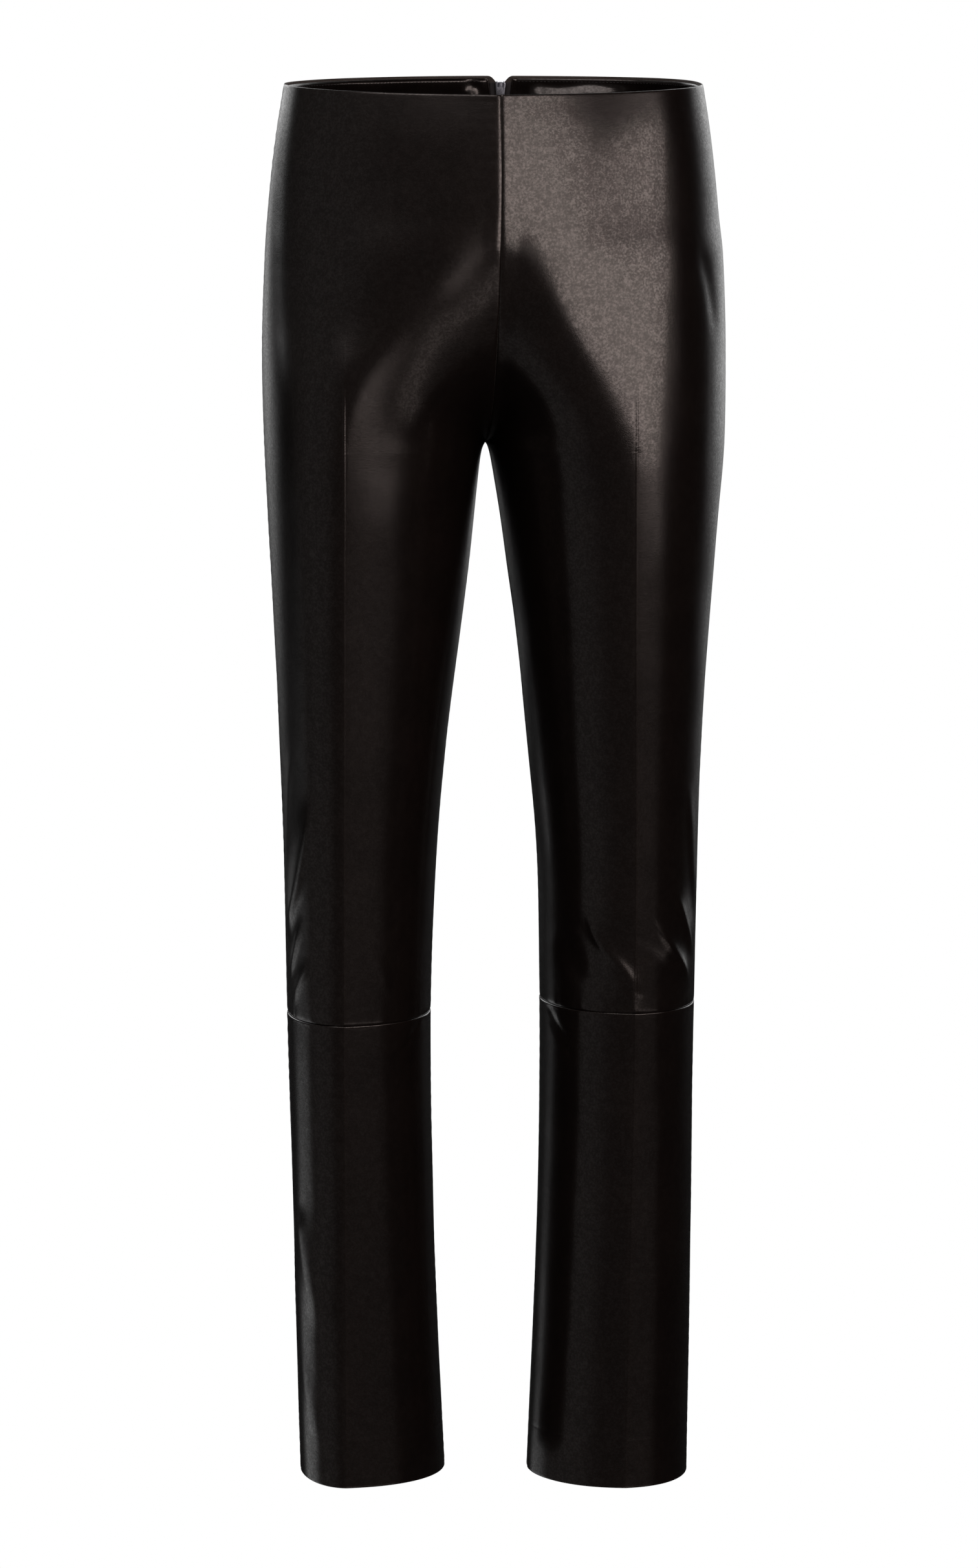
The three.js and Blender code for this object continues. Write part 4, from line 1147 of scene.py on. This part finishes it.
# A tape: a strip inside the panel, narrower beside the slider than beside the coil.
def makeTape(side):
    top, bottom, rows = zipParts["top"], zipParts["bottom"], zipParts["tapeRows"]
    z = np.concatenate([top - np.array(rows["edges"]),
                        np.arange(top - rows["start"], bottom + rows["end"],
                                  -zipParts["tapeStep"]),
                        bottom + np.array(rows["last"])])
    farther = np.full(z.shape, zipParts["tapeEdge"])
    nearer = np.where(z > zipParts["sliderEnd"], zipParts["besideSlider"],
                      zipParts["besideCoil"])
    _, near, far, _, _ = innerStrip(side, z, farther, nearer, zipParts["gap"],
                                    zipParts["tapeThickness"], zipParts["tapeColumns"],
                                    zipParts["tapeEdges"])
    piece = wallPiece(f"zip_tape_{side}_woven", near, far, [tapeWeave])
    return placePiece(piece, "trousers", "zip_tape", f"zip_tape_{side}")


# A coil of nylon wire beside the middle back seam: a flattened helix whose turns run across the
# tape, with a round profile carried along it.
def makeCoil(side):
    sign = trousers["sides"][side]["sign"]
    turns = int((zipParts["sliderEnd"] - zipParts["bottom"]) / zipParts["pitch"])
    count = turns * zipParts["perTurn"] + 1
    turn = np.linspace(0, turns, count)
    z = zipParts["sliderEnd"] - zipParts["wire"]
    z = z - turn * zipParts["pitch"] * zipParts["packing"]
    if side == "left":
        z = z - zipParts["leftOffset"] * zipParts["pitch"]
    _, _, lineRun, _ = panelLines(side, "back", z)
    full = lineRun[:, -1:]
    run = full - np.array([zipParts["seamSteps"]])
    points = panelSurface(side, "back", z, run)
    seam, outwards = points[:, 2], panelNormals(side, "back", z, points, False, False)[:, 1]
    outwards[:, 0] = 0
    outwards = unit(outwards)
    across = np.array([sign, 0.0, 0.0])[None, :]
    halfWide = (zipParts["coilOuter"] - zipParts["coilInner"]) / 2 - zipParts["wire"]
    halfDeep = zipParts["coilThickness"] / 2 - zipParts["wire"]
    angle = 2 * math.pi * turn
    place = (zipParts["coilOuter"] + zipParts["coilInner"]) / 2 + halfWide * np.cos(angle)
    middleDeep = trousers["wall"] + zipParts["gap"] + zipParts["coilThickness"] / 2
    deep = middleDeep + halfDeep * np.sin(angle)
    centre = seam + across * place[:, None] - outwards * deep[:, None]
    centre[:, 0] = innerEdge(side, z) * sign + sign * place
    forward = unit(np.gradient(centre, axis=0))
    down = np.cross(outwards, across.repeat(count, axis=0))
    upwards = unit(np.cross(forward, down))
    tube = tubePoints(centre, upwards, np.cross(forward, upwards), zipParts["wire"],
                      zipParts["around"])
    faces = tubeFaces(1, count, zipParts["around"])
    piece = meshPiece(f"zip_coil_{side}_wound", tube, faces, [coilNylon])
    return placePiece(piece, "trousers", "zip_coil", f"zip_coil_{side}")


tapes = {side: makeTape(side) for side in trousers["sides"]}
for side in trousers["sides"]:
    makeCoil(side)

sliderFinish = {"bevel": 0.28, "pullBevel": 0.22, "segments": 3, "sharpest": 35.0,
                "mergeReach": 1e-5, "flat": 1.0}


# The slider or its pull: the solid's own mesh, its doubles merged and its edges rounded.
def metalPiece(node, name, body, bevel):
    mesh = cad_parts[node].data.copy()
    mesh.name = name
    shape = bmesh.new()
    shape.from_mesh(mesh)
    bmesh.ops.remove_doubles(shape, verts=shape.verts, dist=sliderFinish["mergeReach"])
    bmesh.ops.dissolve_limit(shape, angle_limit=math.radians(sliderFinish["flat"]),
                             verts=shape.verts, edges=shape.edges)
    shape.to_mesh(mesh)
    shape.free()
    mesh.materials.clear()
    mesh.materials.append(paintedMetal)
    mesh.polygons.foreach_set("use_smooth", np.ones(len(mesh.polygons), bool))
    piece = bpy.data.objects.new(name, mesh)
    bpy.context.scene.collection.objects.link(piece)
    rounding = piece.modifiers.new("rounded edges", "BEVEL")
    rounding.width = bevel * metres
    rounding.segments = sliderFinish["segments"]
    rounding.limit_method = "ANGLE"
    rounding.angle_limit = math.radians(sliderFinish["sharpest"])
    rounding.harden_normals = True
    return placePiece(piece, body, "zip_metal", node)


sliderWall = {"halfWidth": 3.1, "bottom": 0.4, "top": 4.5, "shoulder": 1.9, "depths": (1.6, 2.3),
              "height": -8.0, "seamReach": [6.0, 0.0, -16.0], "columns": 14, "rows": 8}


# The slider's outer wall, which closes its two channels: a thin plate whose top falls off with
# the fourth power of the distance from its middle, turned as the middle back seam is.
def makeSliderWall():
    z = sliderWall["height"] + np.array(sliderWall["seamReach"])
    _, _, lineRun, _ = panelLines("left", "back", z)
    seam = panelSurface("left", "back", z, lineRun[:, -1:] - np.array([[1.0, 0.05]]))[:, -1]
    rise = seam[0] - seam[2]
    angle = math.atan2(-rise[1], rise[2])
    across = np.linspace(-1, 1, sliderWall["columns"] + 1)[None, :]
    share = np.linspace(1, 0, sliderWall["rows"] + 1)[:, None]
    top = sliderWall["top"] - sliderWall["shoulder"] * across ** 4
    up = sliderWall["bottom"] + (top - sliderWall["bottom"]) * share
    x = sliderWall["halfWidth"] * across + 0 * up
    sides = [np.stack([x, seam[1, 1] - depth * math.cos(angle) - up * math.sin(angle),
                       seam[1, 2] - depth * math.sin(angle) + up * math.cos(angle)], axis=-1)
             for depth in sliderWall["depths"]]
    piece = wallPiece("zip_slider_wall", *sides, [paintedMetal])
    return placePiece(piece, "trousers", "zip_metal")


metalPiece("zip_slider", "zip_slider_body", "trousers", sliderFinish["bevel"])
makeSliderWall()
metalPiece("zip_pull", "zip_pull_tab", "pull_tab", sliderFinish["pullBevel"])
print("zip made")

for (face, level, side), piece in panels.items():
    hangsFrom = [] if level == "upper" else [f"{face}_panel_upper_{side}"]

studio = {
    "floorHeight": -1.35,
    "floorReach": 30.0,
    "floorColour": (1.0, 1.0, 1.0, 1.0),
    "background": (1.0, 1.0, 1.0, 1.0),
    "room": grey(0.01),
    # Azimuth from the camera's side, positive towards the wearer's left, and elevation, in
    # degrees, as seen from the hip. The soft box is a flat panel that faces its middle azimuth.
    "softBox": {"from": (0.06, -0.09, -0.2), "azimuth": 35, "distance": 2.0,
                "corners": [(6, -6), (22, -10), (51, -10), (80, 12), (77, 17.5), (40, 19.5),
                            (16, 32), (6, 34)],
                "strength": 2.75, "warmth": 0.14},
    # Windows of light in the far room: soft and fade are half the width of their edges.
    "boxes": [
        {"from": 2, "to": 64, "soft": 5, "low": -32, "high": -23, "fade": 3,
         "strength": 0.45, "warmth": 0.14},
        {"from": -118, "to": 62, "soft": 7, "low": -60, "high": 65, "fade": 15,
         "strength": 0.05, "warmth": 0.10},
        {"from": -100, "to": -48, "soft": 16, "low": -50, "high": 60, "fade": 15,
         "strength": 0.08, "warmth": 0.04},
        {"from": 132, "to": 168, "soft": 14, "low": -5, "high": 60, "fade": 4,
         "strength": 0.75, "warmth": 0.0},
        {"from": 126, "to": 168, "soft": 12, "low": 4, "high": 60, "fade": 3,
         "strength": 0.7, "warmth": 0.0},
        {"from": -168, "to": -150, "soft": 12, "low": -5, "high": 60, "fade": 4,
         "strength": 0.60, "warmth": 0.0},
        {"from": -146, "to": -116, "soft": 7, "low": -45, "high": -12, "fade": 3,
         "strength": 0.5, "warmth": 0.0},
        {"from": -168, "to": -130, "soft": 7, "low": 4, "high": 60, "fade": 3,
         "strength": 1.2, "warmth": 0.0},
        {"from": -58, "to": -6, "soft": 7, "low": 29, "high": 65, "fade": 4,
         "strength": 2.1, "warmth": 0.10},
    ],
}


# Plain soft studio light: a dim room with a few large soft boxes, each a window of azimuth and
# elevation with soft edges, and a white background where the camera looks past the trousers.
def makeStudio():
    world = bpy.data.worlds.new("soft_studio")
    bpy.context.scene.world = world
    bench = NodeBench(world)
    towards = bench.add("ShaderNodeTexCoord", output="Generated")
    x, y, z = bench.axes(towards)
    azimuth = bench.add("ShaderNodeMath", {"operation": "ARCTAN2"}, {0: x, 1: 0 - y})
    azimuth = azimuth * (180 / math.pi)
    elevation = bench.add("ShaderNodeMath", {"operation": "ARCSINE"}, {0: z}) * (180 / math.pi)
    light = studio["room"]
    for box in studio["boxes"]:
        soft, fade = box["soft"], box["fade"]
        window = (bench.spread(azimuth, box["from"] - soft, box["from"] + soft)
                  * bench.spread(azimuth, box["to"] + soft, box["to"] - soft)
                  * bench.spread(elevation, box["low"] - fade, box["low"] + fade)
                  * bench.spread(elevation, box["high"] + fade, box["high"] - fade))
        colour = grey(box["strength"], box["warmth"])
        light = bench.add("ShaderNodeMix", {"data_type": "RGBA", "blend_type": "ADD",
                                            "clamp_result": False},
                          {0: window, 6: light, 7: colour}, 2)
    seen = bench.add("ShaderNodeLightPath", {}, {}, "Is Camera Ray")
    light = bench.mixColours(seen, light, studio["background"])
    background = bench.add("ShaderNodeBackground", {}, {"Color": light, "Strength": 1.0})
    bench.add("ShaderNodeOutputWorld", {}, {"Surface": background})


# A flat face with one material that casts no shadow, seen either by the camera alone or by
# reflections and diffuse light alone.
def stageFace(name, corners, material, seen):
    mesh = bpy.data.meshes.new(name)
    mesh.from_pydata([tuple(corner) for corner in corners], [], [tuple(range(len(corners)))])
    mesh.materials.append(material)
    face = bpy.data.objects.new(name, mesh)
    bpy.context.scene.collection.objects.link(face)
    face.visible_camera = seen
    face.visible_glossy = face.visible_diffuse = not seen
    face.visible_shadow = False
    return face


# A material that only gives off light.
def glow(name, colour):
    material = bpy.data.materials.new(name)
    bench = NodeBench(material)
    light = bench.add("ShaderNodeEmission", {}, {"Color": colour, "Strength": 1.0})
    bench.add("ShaderNodeOutputMaterial", {}, {"Surface": light})
    return material


def makeFloor():
    reach, height = studio["floorReach"], studio["floorHeight"]
    corners = [(-reach, -reach, height), (reach, -reach, height), (reach, reach, height),
               (-reach, reach, height)]
    stageFace("floor", corners, glow("pale_floor", studio["floorColour"]), True)


# The soft box: its corners' directions from the hip are carried on to its plane.
def makeSoftBox():
    box = studio["softBox"]
    start = np.array(box["from"])
    azimuth, elevation = np.radians(np.array(box["corners"], float)).T
    middle = math.radians(box["azimuth"])
    away = box["distance"] / np.cos(azimuth - middle)
    corners = start + np.stack([away * np.sin(azimuth), -away * np.cos(azimuth),
                                away * np.tan(elevation)], axis=1)
    stageFace("soft_box", corners, glow("soft_box_light", grey(box["strength"], box["warmth"])),
              False)


makeStudio()
makeFloor()
makeSoftBox()

viewpoint = {"distance": 4.0, "azimuth": -3.7, "tilt": 7.0, "lens": 131.0, "sensor": 36.0,
             "sideways": -0.0018, "farthest": 200.0}


# The camera stands level with the origin, on a circle round it, and looks down by the tilt.
def makeCamera():
    camera = bpy.data.objects.new("camera", bpy.data.cameras.new("camera"))
    turn = math.radians(viewpoint["azimuth"])
    camera.location = (viewpoint["distance"] * math.sin(turn) + viewpoint["sideways"],
                       -viewpoint["distance"] * math.cos(turn), 0)
    camera.rotation_euler = (math.radians(90 - viewpoint["tilt"]), 0, turn)
    camera.data.lens = viewpoint["lens"]
    camera.data.sensor_width = viewpoint["sensor"]
    camera.data.clip_end = viewpoint["farthest"]
    bpy.context.scene.collection.objects.link(camera)
    bpy.context.scene.camera = camera


makeCamera()
bpy.context.scene.view_settings.view_transform = "Standard"
print("light and camera set")
